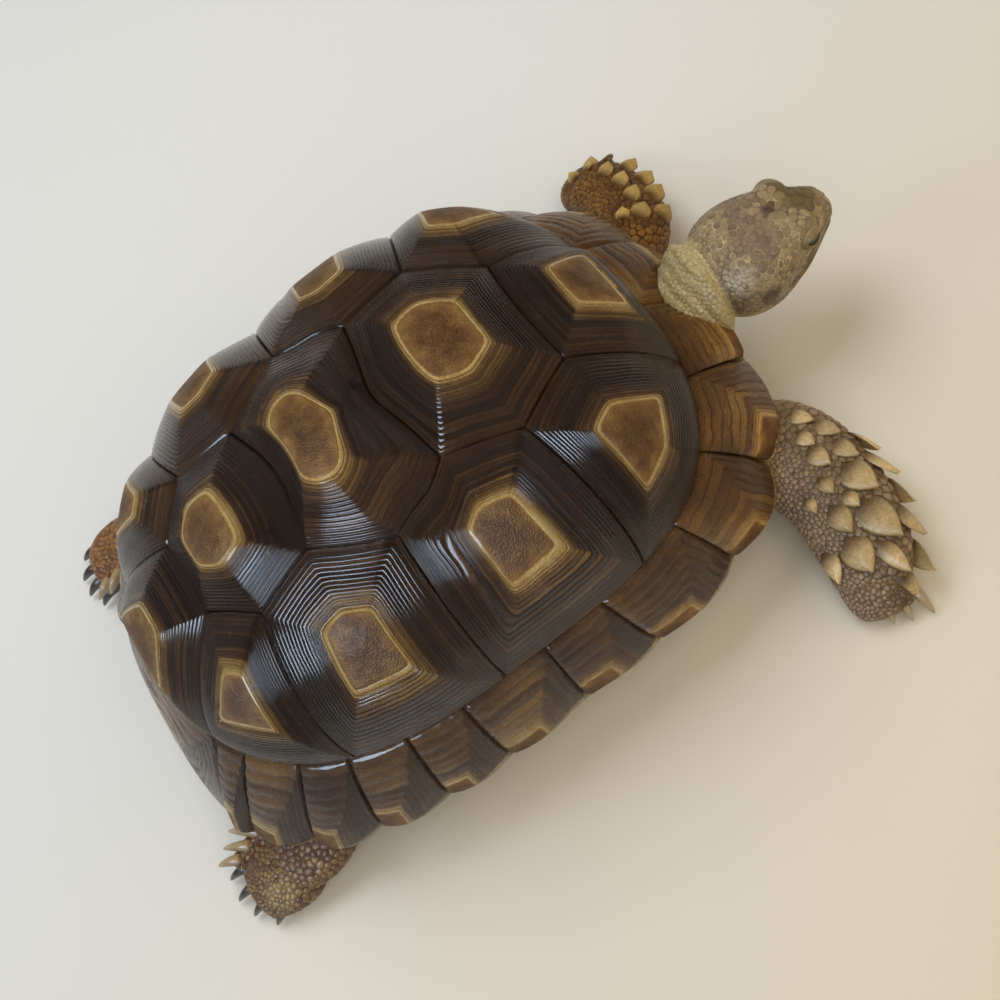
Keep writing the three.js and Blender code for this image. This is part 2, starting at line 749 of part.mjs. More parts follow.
const HINDLEG_LEFT = {
  name: "hindleg_left",
  foot: "hindfoot_left",
  leg: [
    [22, 40, 14.4, 8, 5],
    [34, 49, 11, 9.4, 6.6],
    [43.6, 57, 8.2, 8.8, 6],
    [47, 64.4, 6.4, 7.8, 5.2],
  ],
  sole: [
    [46, 58.6, 4.4, 5, 3.4],
    [47.2, 62.8, 4.6, 8, 5.6],
    [48.2, 68.6, 4, 8, 5.2],
    [48.8, 73, 3, 6.4, 3.8],
  ],
  claws: {
    corners: [
      [53.9, 71.8],
      [42.4, 73.4],
    ],
    bow: 2.2,
    count: 4,
    heading: 88,
    fan: 20,
    lengths: [5, 4.4],
    radius: 1.4,
    height: 2.8,
  },
  scales: [],
  spurs: [0, 1, 2].map((i) => ({
    base: [42.2 - 0.4 * i, 70.8 - 3.4 * i, 6.6 + i],
    tip: [40.4 - 1.4 * i, 76 - 3.2 * i, 6.2 + i],
    radius: 1.8,
  })),
};

const TAIL = [
  [0, 56, 14.4, 7, 3],
  [0.6, 63, 12.6, 5, 3.2],
  [1.6, 68, 10.4, 3.4, 2.6],
  [3.4, 71.6, 8.6, 2, 1.8],
  [5.2, 73.4, 7.6, 0.8, 0.8],
];

const NECK = [
  [0, -44, 15, 11, 4.4],
  [-0.2, -54, 15.8, 10.6, 5],
  [-0.4, -61, 18.6, 10, 6.8],
  [-0.6, -66, 23, 9.8, 7.8],
  [-0.6, -72, 25.4, 8.8, 7],
];

// ---- Head ----

// Along the head, ahead of its back: [place, half width, height over the mouth, depth below it].
const HEAD_STATIONS = [
  [-2.4, 7, 5.8, 5.8],
  [0, 9.6, 7.6, 8.2],
  [3, 11.2, 8.8, 9.2],
  [7.5, 11.7, 9.4, 8.8],
  [12, 10.7, 9.5, 7.4],
  [16, 8.9, 9, 6],
  [19.5, 6.9, 7.8, 5],
  [22.5, 5.1, 6.4, 4],
  [24.6, 3.8, 5.2, 3],
  [25.8, 2.4, 3.8, 1.4],
];
const HEAD_PLACE = { at: [-1.4, -70, 25], yaw: -3, pitch: 3 };
const HEAD_SIDES = 20;
const HEAD_SQUARE = { wide: 0.85, tall: 0.8 }; // under 1 squares the head's section off
const EYE = { radius: 2.7, stretch: 1, place: [6.3, 17.2, 4.9] };
const BROW = { radius: 3.5, stretch: 1.5, place: [4.8, 16, 5.5] };
const MOUTH = { corner: 9, gap: 0.3, space: 30 };

// From the head's own frame (x left, y ahead, z up from the mouth) to the body's.
function headFrame() {
  const turn = new THREE.Euler(
    THREE.MathUtils.degToRad(HEAD_PLACE.pitch),
    0,
    THREE.MathUtils.degToRad(HEAD_PLACE.yaw),
    "ZXY",
  );
  const ahead = new THREE.Matrix4().makeScale(1, -1, 1);
  const frame = new THREE.Matrix4().makeRotationFromEuler(turn).multiply(ahead);
  return frame.setPosition(...HEAD_PLACE.at);
}

function headRings(grow) {
  return HEAD_STATIONS.map(([place, wide, over, under]) =>
    Array.from({ length: HEAD_SIDES }, (unused, k) => {
      const turn = (2 * Math.PI * (k + 0.5)) / HEAD_SIDES;
      const up = Math.sin(turn) > 0 ? over : under;
      return new THREE.Vector3(
        (wide + grow) * signedPower(Math.cos(turn), HEAD_SQUARE.wide),
        place,
        (up + grow) * signedPower(Math.sin(turn), HEAD_SQUARE.tall),
      );
    }),
  );
}

function headSolid(grow) {
  const frame = headFrame();
  const rings = headRings(grow).map((ring) => ring.map((point) => point.applyMatrix4(frame)));
  const brows = [1, -1].map((side) => headBall(BROW, side, grow));
  return joined([solidOf(skinRings(rings)), ...brows]);
}

function headBall({ radius, stretch, place }, side, grow = 0) {
  const middle = new THREE.Vector3(place[0] * side, place[1], place[2]).applyMatrix4(headFrame());
  const ball = new THREE.SphereGeometry(radius + grow, 14, 10).scale(1, stretch, 1);
  return solidOf(ball.translate(middle.x, middle.y, middle.z));
}

// All of the space below the mouth and ahead of its corners, moved down and ahead by drop.
function jawSpace(drop) {
  const { corner, space } = MOUTH;
  const square = [
    [-space, corner + drop],
    [space, corner + drop],
    [space, corner + drop + space],
    [-space, corner + drop + space],
  ];
  const ring = (height) =>
    square.map(([across, ahead]) =>
      new THREE.Vector3(across, ahead, height).applyMatrix4(headFrame()),
    );
  return solidOf(skinRings([ring(-drop), ring(-space)]));
}

function addHead() {
  const whole = headSolid(0);
  const sockets = [1, -1].map((side) => headBall(EYE, side, FLESH_GAP));
  const upper = whole.subtract(jawSpace(0)).subtract(joined(sockets));
  addPiece("head", geometryOf(upper), COLOUR.head);
  addPiece("lower_jaw", geometryOf(whole.intersect(jawSpace(MOUTH.gap))), COLOUR.neck);
  addPiece("eye_left", geometryOf(headBall(EYE, 1)), COLOUR.eye, 0.1);
  addPiece("eye_right", geometryOf(headBall(EYE, -1)), COLOUR.eye, 0.1);
}

// ---- The whole animal ----

addDomePlates();
addMarginals();
addPlastron();
addPiece("trunk", trunkGeometry(), COLOUR.skin);
addHead();

const shellGuard = joined([marginalGuard(), plastronGuard(), solidOf(trunkGeometry(FLESH_GAP))]);
const neckSolid = solidOf(limbGeometry(NECK, 0, 16)).subtract(headSolid(FLESH_GAP));
addPiece("neck", geometryOf(neckSolid.subtract(shellGuard)), COLOUR.neck);
addPiece("tail", geometryOf(solidOf(limbGeometry(TAIL, 0, 10)).subtract(shellGuard)), COLOUR.skin);
const neckGuard = solidOf(limbGeometry(NECK, FLESH_GAP, 16));
for (const limb of [FORELEG_RIGHT, FORELEG_LEFT, HINDLEG_RIGHT, HINDLEG_LEFT]) {
  addLimb(limb, joined([shellGuard, neckGuard]));
}

// The frame's origin is below the middle of the whole animal's box.
const box = new THREE.Box3().setFromObject(tortoise);
const middle = box.getCenter(new THREE.Vector3());
tortoise.position.set(-middle.x, -middle.y, -box.min.z);

export default tortoise;
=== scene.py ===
import math

import bpy
import numpy as np
from mathutils import Matrix, Vector, kdtree, noise
from mathutils.bvhtree import BVHTree


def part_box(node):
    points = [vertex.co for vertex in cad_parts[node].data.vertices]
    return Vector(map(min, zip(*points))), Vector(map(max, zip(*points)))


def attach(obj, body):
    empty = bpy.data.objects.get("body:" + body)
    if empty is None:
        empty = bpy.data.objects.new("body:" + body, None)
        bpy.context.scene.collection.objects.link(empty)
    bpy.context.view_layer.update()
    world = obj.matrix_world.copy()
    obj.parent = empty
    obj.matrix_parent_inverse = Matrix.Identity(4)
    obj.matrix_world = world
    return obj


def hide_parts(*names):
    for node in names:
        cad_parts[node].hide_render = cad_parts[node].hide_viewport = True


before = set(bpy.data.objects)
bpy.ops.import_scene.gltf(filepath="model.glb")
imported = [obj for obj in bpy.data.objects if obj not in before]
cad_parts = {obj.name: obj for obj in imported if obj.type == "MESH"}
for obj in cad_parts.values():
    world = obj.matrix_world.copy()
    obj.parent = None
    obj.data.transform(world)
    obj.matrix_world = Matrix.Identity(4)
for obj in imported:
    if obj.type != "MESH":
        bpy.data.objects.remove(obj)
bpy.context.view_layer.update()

# A young sulcata tortoise. Shapes are worked out in the animal's own millimetres: +X its left,
# +Y its rear, +Z up, soles on z = 0. PLACE moves them into the frame, in metres.
MM = 0.001
ABDOMEN_MIDDLE = -1.5  # where the middle of the abdominal plate lies along the animal
abdomen_low, abdomen_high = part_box("plastron_abdominal")
abdomen = (abdomen_low + abdomen_high) / 2 / MM
PLACE = np.array([abdomen.x, abdomen.y - ABDOMEN_MIDDLE, 0.0])


def to_frame(points):
    return (np.asarray(points, float) + PLACE) * MM


def toward(around, height):
    """The way to a place that is given by degrees round from the animal's front and degrees up."""
    around, height = math.radians(around), math.radians(height)
    level = math.cos(height)
    return Vector((math.sin(around) * level, -math.cos(around) * level, math.sin(height)))


def link(name, data):
    thing = bpy.data.objects.new(name, data)
    bpy.context.collection.objects.link(thing)
    return thing


# ---- Camera ----

CAMERA = {
    "azimuth": -86.2,
    "elevation": 64.02,
    "roll": -41.46,
    "distance": 241.21,
    "target": (-15.57, -10.46, 34.64),
    "lens": 46.9,
}


def make_camera():
    back = toward(CAMERA["azimuth"], CAMERA["elevation"])
    roll = math.radians(CAMERA["roll"])
    level = Vector((0, 0, 1)).cross(back).normalized()
    upright = back.cross(level)
    right = math.cos(roll) * level + math.sin(roll) * upright
    up = math.cos(roll) * upright - math.sin(roll) * level
    data = bpy.data.cameras.new("camera")
    data.lens = CAMERA["lens"]
    data.sensor_width = 36
    data.clip_start = 0.01
    camera = link("camera", data)
    turn = Matrix((right, up, back)).transposed()
    spot = Vector(to_frame(CAMERA["target"])) + back * CAMERA["distance"] * MM
    camera.matrix_world = Matrix.Translation(spot) @ turn.to_4x4()
    bpy.context.scene.camera = camera


make_camera()


# ---- Small helpers ----


def lerp(start, end, share):
    return start + (end - start) * share


def signed_power(value, power):
    return np.sign(value) * np.abs(value) ** power


def smoothstep(value, low, high):
    share = np.clip((value - low) / (high - low), 0, 1)
    return share * share * (3 - 2 * share)


def unit(vectors):
    return vectors / np.maximum(np.linalg.norm(vectors, axis=-1, keepdims=True), 1e-12)


def turns(count):
    """Angles evenly spaced all the way round."""
    return np.linspace(0, 2 * np.pi, count, endpoint=False)


def sided(place, side):
    """A place given on the left, or its mirror image where side is -1."""
    return np.array(place) * (side, 1, 1)


def curve_through(stations, steps):
    """A smooth curve through rows of numbers, as rows again, by Catmull-Rom."""
    rows = np.asarray(stations, float)
    padded = np.vstack([2 * rows[0] - rows[1], rows, 2 * rows[-1] - rows[-2]])
    out = []
    for i in range(1, len(padded) - 2):
        before, start, end, after = padded[i - 1 : i + 3]
        square = 2 * before - 5 * start + 4 * end - after
        cube = 3 * start - before - 3 * end + after
        for share in np.arange(steps) / steps:
            out.append(0.5 * (2 * start + (end - before) * share + square * share**2 + cube * share**3))
    return np.vstack([out, rows[-1]])


def wobble(points, scale, seed):
    """Smooth noise, about -1 to 1, at each point. scale is the size of its lumps, and each seed reads
    another part of the noise."""
    offset = np.array([seed * 7.3, seed * 3.1, seed * 5.7])
    solid = np.zeros((len(points), 3))
    solid[:, : np.shape(points)[1]] = points
    return np.array([noise.noise(p) for p in solid / scale + offset])


def grid_faces(rows, columns, closed):
    """The four-sided faces of a grid of points, stored row by row."""
    across = columns if closed else columns - 1
    row, column = np.meshgrid(np.arange(rows - 1), np.arange(across), indexing="ij")
    beside = (column + 1) % columns
    first, second = row * columns, (row + 1) * columns
    faces = np.stack([first + column, first + beside, second + beside, second + column], -1)
    return faces.reshape(-1, 4)


def fan_faces(first, count, middle, outward):
    """Triangles from a closed ring of points to one in its middle."""
    ring = first + np.arange(count)
    beside = first + (np.arange(count) + 1) % count
    pair = (ring, beside) if outward else (beside, ring)
    return np.stack([*pair, np.full(count, middle)], -1)


def merged(parts):
    """Pairs of points and faces as one pair."""
    points = np.vstack([part[0] for part in parts])
    faces, offset = [], 0
    for part_points, part_faces in parts:
        faces.extend(face + offset for face in part_faces)
        offset += len(part_points)
    return points, faces


def make_mesh(name, points, face_sets, values=None, colours=None, unwrap=None):
    """A smooth mesh from points in animal millimetres. values and colours become attributes, and
    unwrap, one place on the unwrap for each point, becomes the map named OFBake."""
    mesh = bpy.data.meshes.new(name)
    corners = np.concatenate([faces.ravel() for faces in face_sets]).astype(np.int32)
    sizes = np.concatenate([np.full(len(faces), faces.shape[1]) for faces in face_sets])
    starts = np.concatenate([[0], np.cumsum(sizes)[:-1]]).astype(np.int32)
    mesh.vertices.add(len(points))
    mesh.vertices.foreach_set("co", to_frame(points).astype(np.float32).ravel())
    mesh.loops.add(len(corners))
    mesh.loops.foreach_set("vertex_index", corners)
    mesh.polygons.add(len(sizes))
    mesh.polygons.foreach_set("loop_start", starts)
    for key, numbers in (values or {}).items():
        layer = mesh.attributes.new(key, "FLOAT", "POINT")
        layer.data.foreach_set("value", np.asarray(numbers, np.float32).ravel())
    for key, rows in (colours or {}).items():
        layer = mesh.attributes.new(key, "FLOAT_COLOR", "POINT")
        rgba = np.hstack([rows, np.ones((len(rows), 1))])
        layer.data.foreach_set("color", rgba.astype(np.float32).ravel())
    if unwrap is not None:
        layer = mesh.uv_layers.new(name="OFBake")
        layer.data.foreach_set("uv", unwrap[corners].astype(np.float32).ravel())
    mesh.update(calc_edges=True)
    mesh.validate()
    mesh.shade_smooth()
    return mesh


def add_piece(name, points, faces, material, slot, replaces=(), **data):
    """Puts a mesh in the scene for some of the frame's nodes, or for none. data is make_mesh's."""
    mesh = make_mesh(name, points, faces, **data)
    piece = link(name, mesh)
    mesh.materials.append(material)
    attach(piece, "root")
    if replaces:
        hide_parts(*replaces)


# ---- Materials ----


class Nodes:
    """A short way to write a material's nodes."""

    def __init__(self, name):
        self.material = bpy.data.materials.new(name)
        self.material.use_nodes = True
        self.tree = self.material.node_tree
        self.shader = self.tree.nodes["Principled BSDF"]

    def add(self, kind, inputs=None, **settings):
        node = self.tree.nodes.new("ShaderNode" + kind)
        for key, value in settings.items():
            setattr(node, key, value)
        for key, value in (inputs or {}).items():
            self.join(value, node.inputs[key])
        return node

    def join(self, value, socket):
        if isinstance(value, bpy.types.NodeSocket):
            self.tree.links.new(value, socket)
        else:
            socket.default_value = value

    def attribute(self, name, output="Fac"):
        return self.add("Attribute", attribute_name=name).outputs[output]

    def math(self, operation, first, second=0.0):
        return self.add("Math", {0: first, 1: second}, operation=operation).outputs[0]

    def times(self, first, second):
        return self.math("MULTIPLY", first, second)

    def plus(self, first, second):
        return self.math("ADD", first, second)

    def minus(self, first, second):
        return self.math("SUBTRACT", first, second)

    def larger(self, first, second):
        return self.math("MAXIMUM", first, second)

    def range(self, value, low, high, to_low=0.0, to_high=1.0):
        inputs = {"Value": value, "From Min": low, "From Max": high, "To Min": to_low, "To Max": to_high}
        return self.add("MapRange", inputs).outputs["Result"]

    def mix(self, share, first, second, blend="MIX"):
        node = self.add("Mix", data_type="RGBA", blend_type=blend)
        for socket, value in ((0, share), (6, first), (7, second)):
            if isinstance(value, tuple) and len(value) == 3:
                value = (*value, 1)
            self.join(value, node.inputs[socket])
        return node.outputs[2]

    def shaded(self, colour, shade):
        """A colour times another one or times a number."""
        if not isinstance(shade, tuple):
            shade = self.vector(shade, shade, shade)
        return self.mix(1.0, colour, shade, "MULTIPLY")

    def ramp(self, value, stops):
        node = self.add("ValToRGB", {"Fac": value})
        ramp = node.color_ramp
        for element, (position, colour) in zip(ramp.elements, (stops[0], stops[-1])):
            element.position = position
            element.color = (*colour, 1)
        for position, colour in stops[1:-1]:
            ramp.elements.new(position).color = (*colour, 1)
        return node.outputs["Color"]

    def noise(self, vector, scale, detail=3.0, roughness=0.55):
        inputs = {"Vector": vector, "Scale": scale, "Detail": detail, "Roughness": roughness}
        return self.add("TexNoise", inputs).outputs["Fac"]

    def clouds(self, vector, scale, detail, low, high):
        """Noise stretched to reach from low to high."""
        return self.range(self.noise(vector, scale, detail), 0.3, 0.7, low, high)

    def cells(self, vector, scale, feature="F1"):
        inputs = {"Vector": vector, "Scale": scale}
        return self.add("TexVoronoi", inputs, feature=feature).outputs["Distance"]

    def vector(self, x, y, z):
        return self.add("CombineXYZ", {"X": x, "Y": y, "Z": z}).outputs["Vector"]

    def place(self):
        return self.add("TexCoord").outputs["Object"]

    def bump(self, height, distance, normal=None):
        node = self.add("Bump", {"Height": height, "Distance": distance, "Strength": 1.0})
        if normal is not None:
            self.join(normal, node.inputs["Normal"])
        return node.outputs["Normal"]

    def grain(self, vector, scale, detail, depth, normal=None):
        """Fine noise as relief."""
        return self.bump(self.noise(vector, scale, detail), depth, normal)

    def finish(self, colour, roughness, normal=None, **sockets):
        self.join(colour, self.shader.inputs["Base Color"])
        self.join(roughness, self.shader.inputs["Roughness"])
        if normal is not None:
            self.join(normal, self.shader.inputs["Normal"])
        for key, value in sockets.items():
            self.shader.inputs[key.replace("_", " ")].default_value = value
        return self.material


# Colours of horn, from the darkest growth rings to the palest.
HORN = [
    (0.0, (0.013, 0.0055, 0.002)),
    (0.14, (0.034, 0.015, 0.005)),
    (0.3, (0.068, 0.03, 0.009)),
    (0.46, (0.15, 0.075, 0.022)),
    (0.62, (0.29, 0.165, 0.048)),
    (0.8, (0.47, 0.31, 0.1)),
    (1.0, (0.66, 0.5, 0.23)),
]
STRAW = [
    (0.0, (0.1, 0.055, 0.02)),
    (0.3, (0.26, 0.165, 0.06)),
    (0.6, (0.48, 0.36, 0.15)),
    (1.0, (0.66, 0.54, 0.28)),
]
CREAM_RING = 0.09  # the pale band round an areole, as a share of the way to the seam
RING_COUNT = 15  # growth rings between that band and the seam
MARGINAL_RINGS = 7
RING_CROWDING = 0.74  # under 1 crowds the rings towards the areole
# Old scars on the shell: middle in the animal's millimetres, and radius.
SCARS = [((3.1, -3.8, 66.3), 1.3), ((-8.3, 22.1, 64.4), 0.8)]


def horn_material(name, ramp, glow_low, glow_high, shine, rings=RING_COUNT, groove=0.78):
    """Glossy growth rings. ring runs from -1 in the areole's middle by 0 at its rim to 1 at the seam,
    and around is the way along the rings in millimetres. light is the share of pale horn in that
    sector, amber the share of yellow in the whole plate and under the share of straw-coloured horn,
    as along a free edge. glow is the place in the ramp from dark horn to pale."""
    n = Nodes(name)
    ring, light = n.attribute("ring"), n.attribute("light")
    seed, amber = n.attribute("seed"), n.attribute("amber")
    place = n.place()
    waver = n.minus(n.noise(place, 150, 3), 0.5)
    outer = n.larger(n.plus(ring, n.times(waver, 0.06)), 0.0)
    beyond = n.range(outer, CREAM_RING, 1.0)
    count = n.times(n.math("POWER", beyond, RING_CROWDING), rings)
    number = n.math("FLOOR", count)
    across = n.math("FRACT", count)
    dice = n.add("TexWhiteNoise", {"W": n.plus(number, seed)}, noise_dimensions="1D")
    tone = dice.outputs["Value"]
    # Pale rings: bright beside the areole, then soon dark, and brighter in light sectors.
    reach = n.plus(0.27, n.times(light, 0.27))
    near = n.range(outer, CREAM_RING, reach, 0.64, 0.0)
    contrast = n.range(outer, 0.3, 0.8, 0.3, 0.2)
    varied = n.times(n.minus(tone, 0.42), contrast)
    base = n.plus(glow_low, n.times(light, glow_high))
    base = n.plus(base, varied)
    base = n.plus(base, n.times(amber, 0.1))
    glow = n.larger(base, n.plus(near, varied))
    glow = n.times(glow, n.clouds(place, 60, 4, 0.66, 1.26))
    # A thin dark line between two rings.
    line = n.times(n.range(across, 0.22, 0.08), n.range(outer, 0.07, 0.1))
    fading = n.range(outer, 0.3, 0.9, groove, groove * 0.8)
    glow = n.times(glow, n.minus(1.0, n.times(line, fading)))
    # The first band is cream all the way round, with a thin brown line in it.
    band = n.times(n.range(outer, 0.095, 0.08), n.range(ring, -0.07, 0.0))
    cream = n.clouds(place, 300, 3, 0.76, 0.98)
    split = n.math("ABSOLUTE", n.minus(outer, 0.052))
    cream = n.times(cream, n.range(split, 0.003, 0.014, 0.66, 1.0))
    glow = n.larger(glow, n.times(band, cream))
    # Fine striae along the rings.
    thread = n.vector(n.times(outer, 105.0), n.times(n.attribute("around"), 1.3), seed)
    striae = n.noise(thread, 1.0, 3, 0.65)
    glow = n.times(glow, n.range(striae, 0.3, 0.7, 0.76, 1.2))
    # The areole: granular, golden brown, paler at its rim.
    inside = n.range(ring, -0.02, -0.07)
    grains = n.cells(place, 2600)
    specks = n.minus(n.noise(place, 420, 4), 0.5)
    middle = n.plus(n.range(ring, -0.7, -0.1, 0.4, 0.52), n.times(specks, 0.42))
    pits = n.times(n.range(grains, 0.5, 0.2, 0.0, 0.13), n.range(ring, -0.15, -0.4))
    middle = n.times(n.minus(middle, pits), inside)
    glow = n.plus(n.times(glow, n.minus(1.0, inside)), middle)
    # Scars: dark hollows.
    scarred = 0.0
    for scar, radius in SCARS:
        away = n.add("VectorMath", {0: place, 1: tuple(to_frame(scar))}, operation="DISTANCE")
        spot = n.range(away.outputs["Value"], radius * MM, radius * MM * 0.6)
        scarred = n.larger(spot, scarred)
    glow = n.times(glow, n.minus(1.0, n.times(scarred, 0.85)))
    colour = n.ramp(glow, ramp)
    warm = n.shaded(colour, (1.0, 0.74, 0.3))
    colour = n.mix(n.times(amber, 0.55), colour, warm)
    blotch = n.noise(place, 110, 3)
    straw = n.ramp(n.range(blotch, 0.25, 0.7), STRAW)
    colour = n.mix(n.attribute("under"), colour, straw)
    # Relief.
    fine = n.times(striae, n.range(ring, -0.02, 0.05))
    normal = n.bump(fine, 0.0006)
    normal = n.bump(n.times(grains, inside), 0.00018, normal)
    normal = n.grain(place, 900, 2, 0.00004, normal)
    normal = n.bump(n.minus(1.0, scarred), 0.0014, normal)
    roughness = n.clouds(place, 200, 3, shine, shine + 0.16)
    roughness = n.plus(roughness, n.times(inside, 0.34))
    n.join(n.range(inside, 0.0, 1.0, 0.5, 0.04), n.shader.inputs["Coat Weight"])
    return n.finish(colour, roughness, normal, Specular_IOR_Level=0.4, Coat_Roughness=0.15)


# ---- Carapace law ----

SEAM_GAP = 0.3  # between the dome's plates and the marginal ones
PLATE_GAP = 0.16  # the part of a seam's gap that shows between two plates
PLATE_DEPTH = 2.2
# SEAM_LOOP is the dome's edge and RIM_LOOP the shell's, each with its reach at the sides, front and
# rear, its height, how far its ends rise and how round it is. Angles run from the front to the rear.
SEAM_LOOP = dict(
    half_width=44, front=54, rear=61.5, height=35, front_rise=-2.2, rear_rise=0.2,
    round_x=0.87, round_y=0.66, egg=-0.05,
)
RIM_LOOP = dict(
    half_width=50, front=65.5, rear=74.5, height=17.4, front_rise=3.7, rear_rise=-3.5,
    round_x=0.78, round_y=0.66, egg=-0.02,
)
CROWN = {"y": -0.5, "height": 65.6}
DOME_ARC = {"side": 75.5, "front": 67.8, "rear": 66.2}  # how steeply the dome meets its edge, in degrees
DOME_FULLNESS = 1.5  # how far the dome swells half-way down
# Where the seams between marginal plates leave the dome's edge, and how far on they meet the rim.
MARGINAL_SEAMS = [0, 20.3, 41.6, 62.6, 82.8, 89.9, 98.3, 108.1, 120.6, 132.6, 148.2, 157]
RIM_SEAM_SHIFT = [0, -6.2, -0.9, 1.2, -0.9, 0, -2.3, -3.1, -3.2, -0.5, 0, -2, 0]
S1, S2, S3, S4, S5 = 17.4, 73.2, 92.3, 118.4, 157.5  # where seams meet the dome's edge, in degrees
# How far each marginal plate's free edge bulges, from the front.
MARGINAL_BULGE = [0.8, 1.8, 2.6, 1.5, 0.8, 1.1, 1.3, 1.8, 2.6, 1.8, 1.6]
NUCHAL_NOTCH = {"depth": 3.6, "half_angle": 11}
TAIL_TUCK = {"depth": 2, "half_angle": 26}
BRIDGE = {"start": (58, 70), "end": (106, 118)}  # where the shell's two halves join, in degrees
# The section of a marginal plate: how far it bulges, turns in under the rim and reaches inwards.
MARGINAL = {"camber": 1.2, "lip_in": 0.9, "lip": 1.3, "bridge_lip": 2.6, "turn": 9.5, "thick": 2}
OUTWARD_Y = 0.7  # how much the way outwards turns to the front and the rear
# The seams' meeting places on the map, where the dome's edge is at 1: at both ends of the seam between
# two vertebral plates, and where two costal plates and a vertebral one meet.
V12, V23, V34, V45 = (0.189, -0.513), (0.275, -0.063), (0.249, 0.216), (0.131, 0.561)
C12, C23, C34 = (0.334, -0.268), (0.38, 0.031), (0.29, 0.404)
PLASTRON = {"under": 7, "thick": 2.6, "bridge": 38}


def loop_point(loop, angle):
    """The point of a loop at an angle."""
    sine, cosine = np.sin(angle), np.cos(angle)
    reach = np.where(cosine > 0, loop["front"], loop["rear"])
    rise = np.where(cosine > 0, loop["front_rise"], loop["rear_rise"])
    x = loop["half_width"] * signed_power(sine, loop["round_x"]) * (1 - loop["egg"] * cosine)
    y = -reach * signed_power(cosine, loop["round_y"])
    return np.stack([x, y, loop["height"] + rise * cosine**2], -1)


def dome_point(across, along):
    """The dome's point for a place on its map, whose middle is the crown and whose edge is at 1."""
    angle = np.arctan2(across, -along)
    edge = loop_point(SEAM_LOOP, angle)
    end_arc = np.where(np.cos(angle) > 0, DOME_ARC["front"], DOME_ARC["rear"])
    arc = np.radians(DOME_ARC["side"] * np.sin(angle) ** 2 + end_arc * np.cos(angle) ** 2)
    radius = np.hypot(across, along)
    out = np.sin(radius * arc) / np.sin(arc)
    up = (np.cos(radius * arc) - np.cos(arc)) / (1 - np.cos(arc))
    x = out * edge[..., 0]
    y = CROWN["y"] + out * (edge[..., 1] - CROWN["y"])
    return np.stack([x, y, edge[..., 2] + (CROWN["height"] - edge[..., 2]) * up], -1)


def dome_normal(across, along):
    step = 0.002
    side = dome_point(across + step, along) - dome_point(across - step, along)
    ahead = dome_point(across, along + step) - dome_point(across, along - step)
    return unit(np.cross(side, ahead))


def lifted_dome(across, along, lift):
    share = across**2 + along**2
    fullness = 4 * DOME_FULLNESS * share * (1 - share)
    return dome_point(across, along) + dome_normal(across, along) * (lift + fullness)[..., None]


def on_seam_loop(degrees):
    angle = np.radians(degrees)
    return np.stack([np.sin(angle), -np.cos(angle)], -1)


# ---- Plates with growth rings ----

ROWS_PER_RING = 5
PLATE_RISE = {"vertebral": 3.4, "costal": 2.5}  # how far an areole stands over the dome
# How big the areoles are, as shares of the way to the seams.
AREOLE_SHARES = {"vertebral": (0.33, 0.36, 0.38, 0.34, 0.37), "costal": (0.34, 0.31, 0.31, 0.32)}
RING_RELIEF = 0.17
AREOLE_ROUNDING = 6  # how often the areoles' corners are smoothed
VERTEBRAL_BOWS = (0.03, 0.03, 0.12, 0.06, 0.03)  # how far the areoles' sides curve outwards
# Rows of points in an areole, as shares of the way from its middle to its rim.
AREOLE_ROWS = (0.12, 0.3, 0.48, 0.64, 0.78, 0.88, 0.95, 1.0)


def ring_relief(ring, seed, rings=RING_COUNT):
    """Growth rings as low terraces, each with a groove at its inner edge."""
    beyond = np.clip((ring - CREAM_RING) / (1 - CREAM_RING), 0, 1)
    count = beyond**RING_CROWDING * rings
    number, across = np.floor(count), count % 1
    strength = 0.65 + 0.7 * np.abs(np.sin(number * 12.9 + seed))
    groove = np.exp(-((np.minimum(across, 1 - across) / 0.17) ** 2))
    terrace = 0.45 * (0.5 - across) - groove
    return RING_RELIEF * strength * terrace * smoothstep(ring, 0, 0.06)


def straight(start, end):
    start, end = np.array(start), np.array(end)
    return lambda share: start + (end - start) * share[:, None]


def seam_arc(start, end):
    return lambda share: on_seam_loop(lerp(start, end, share))


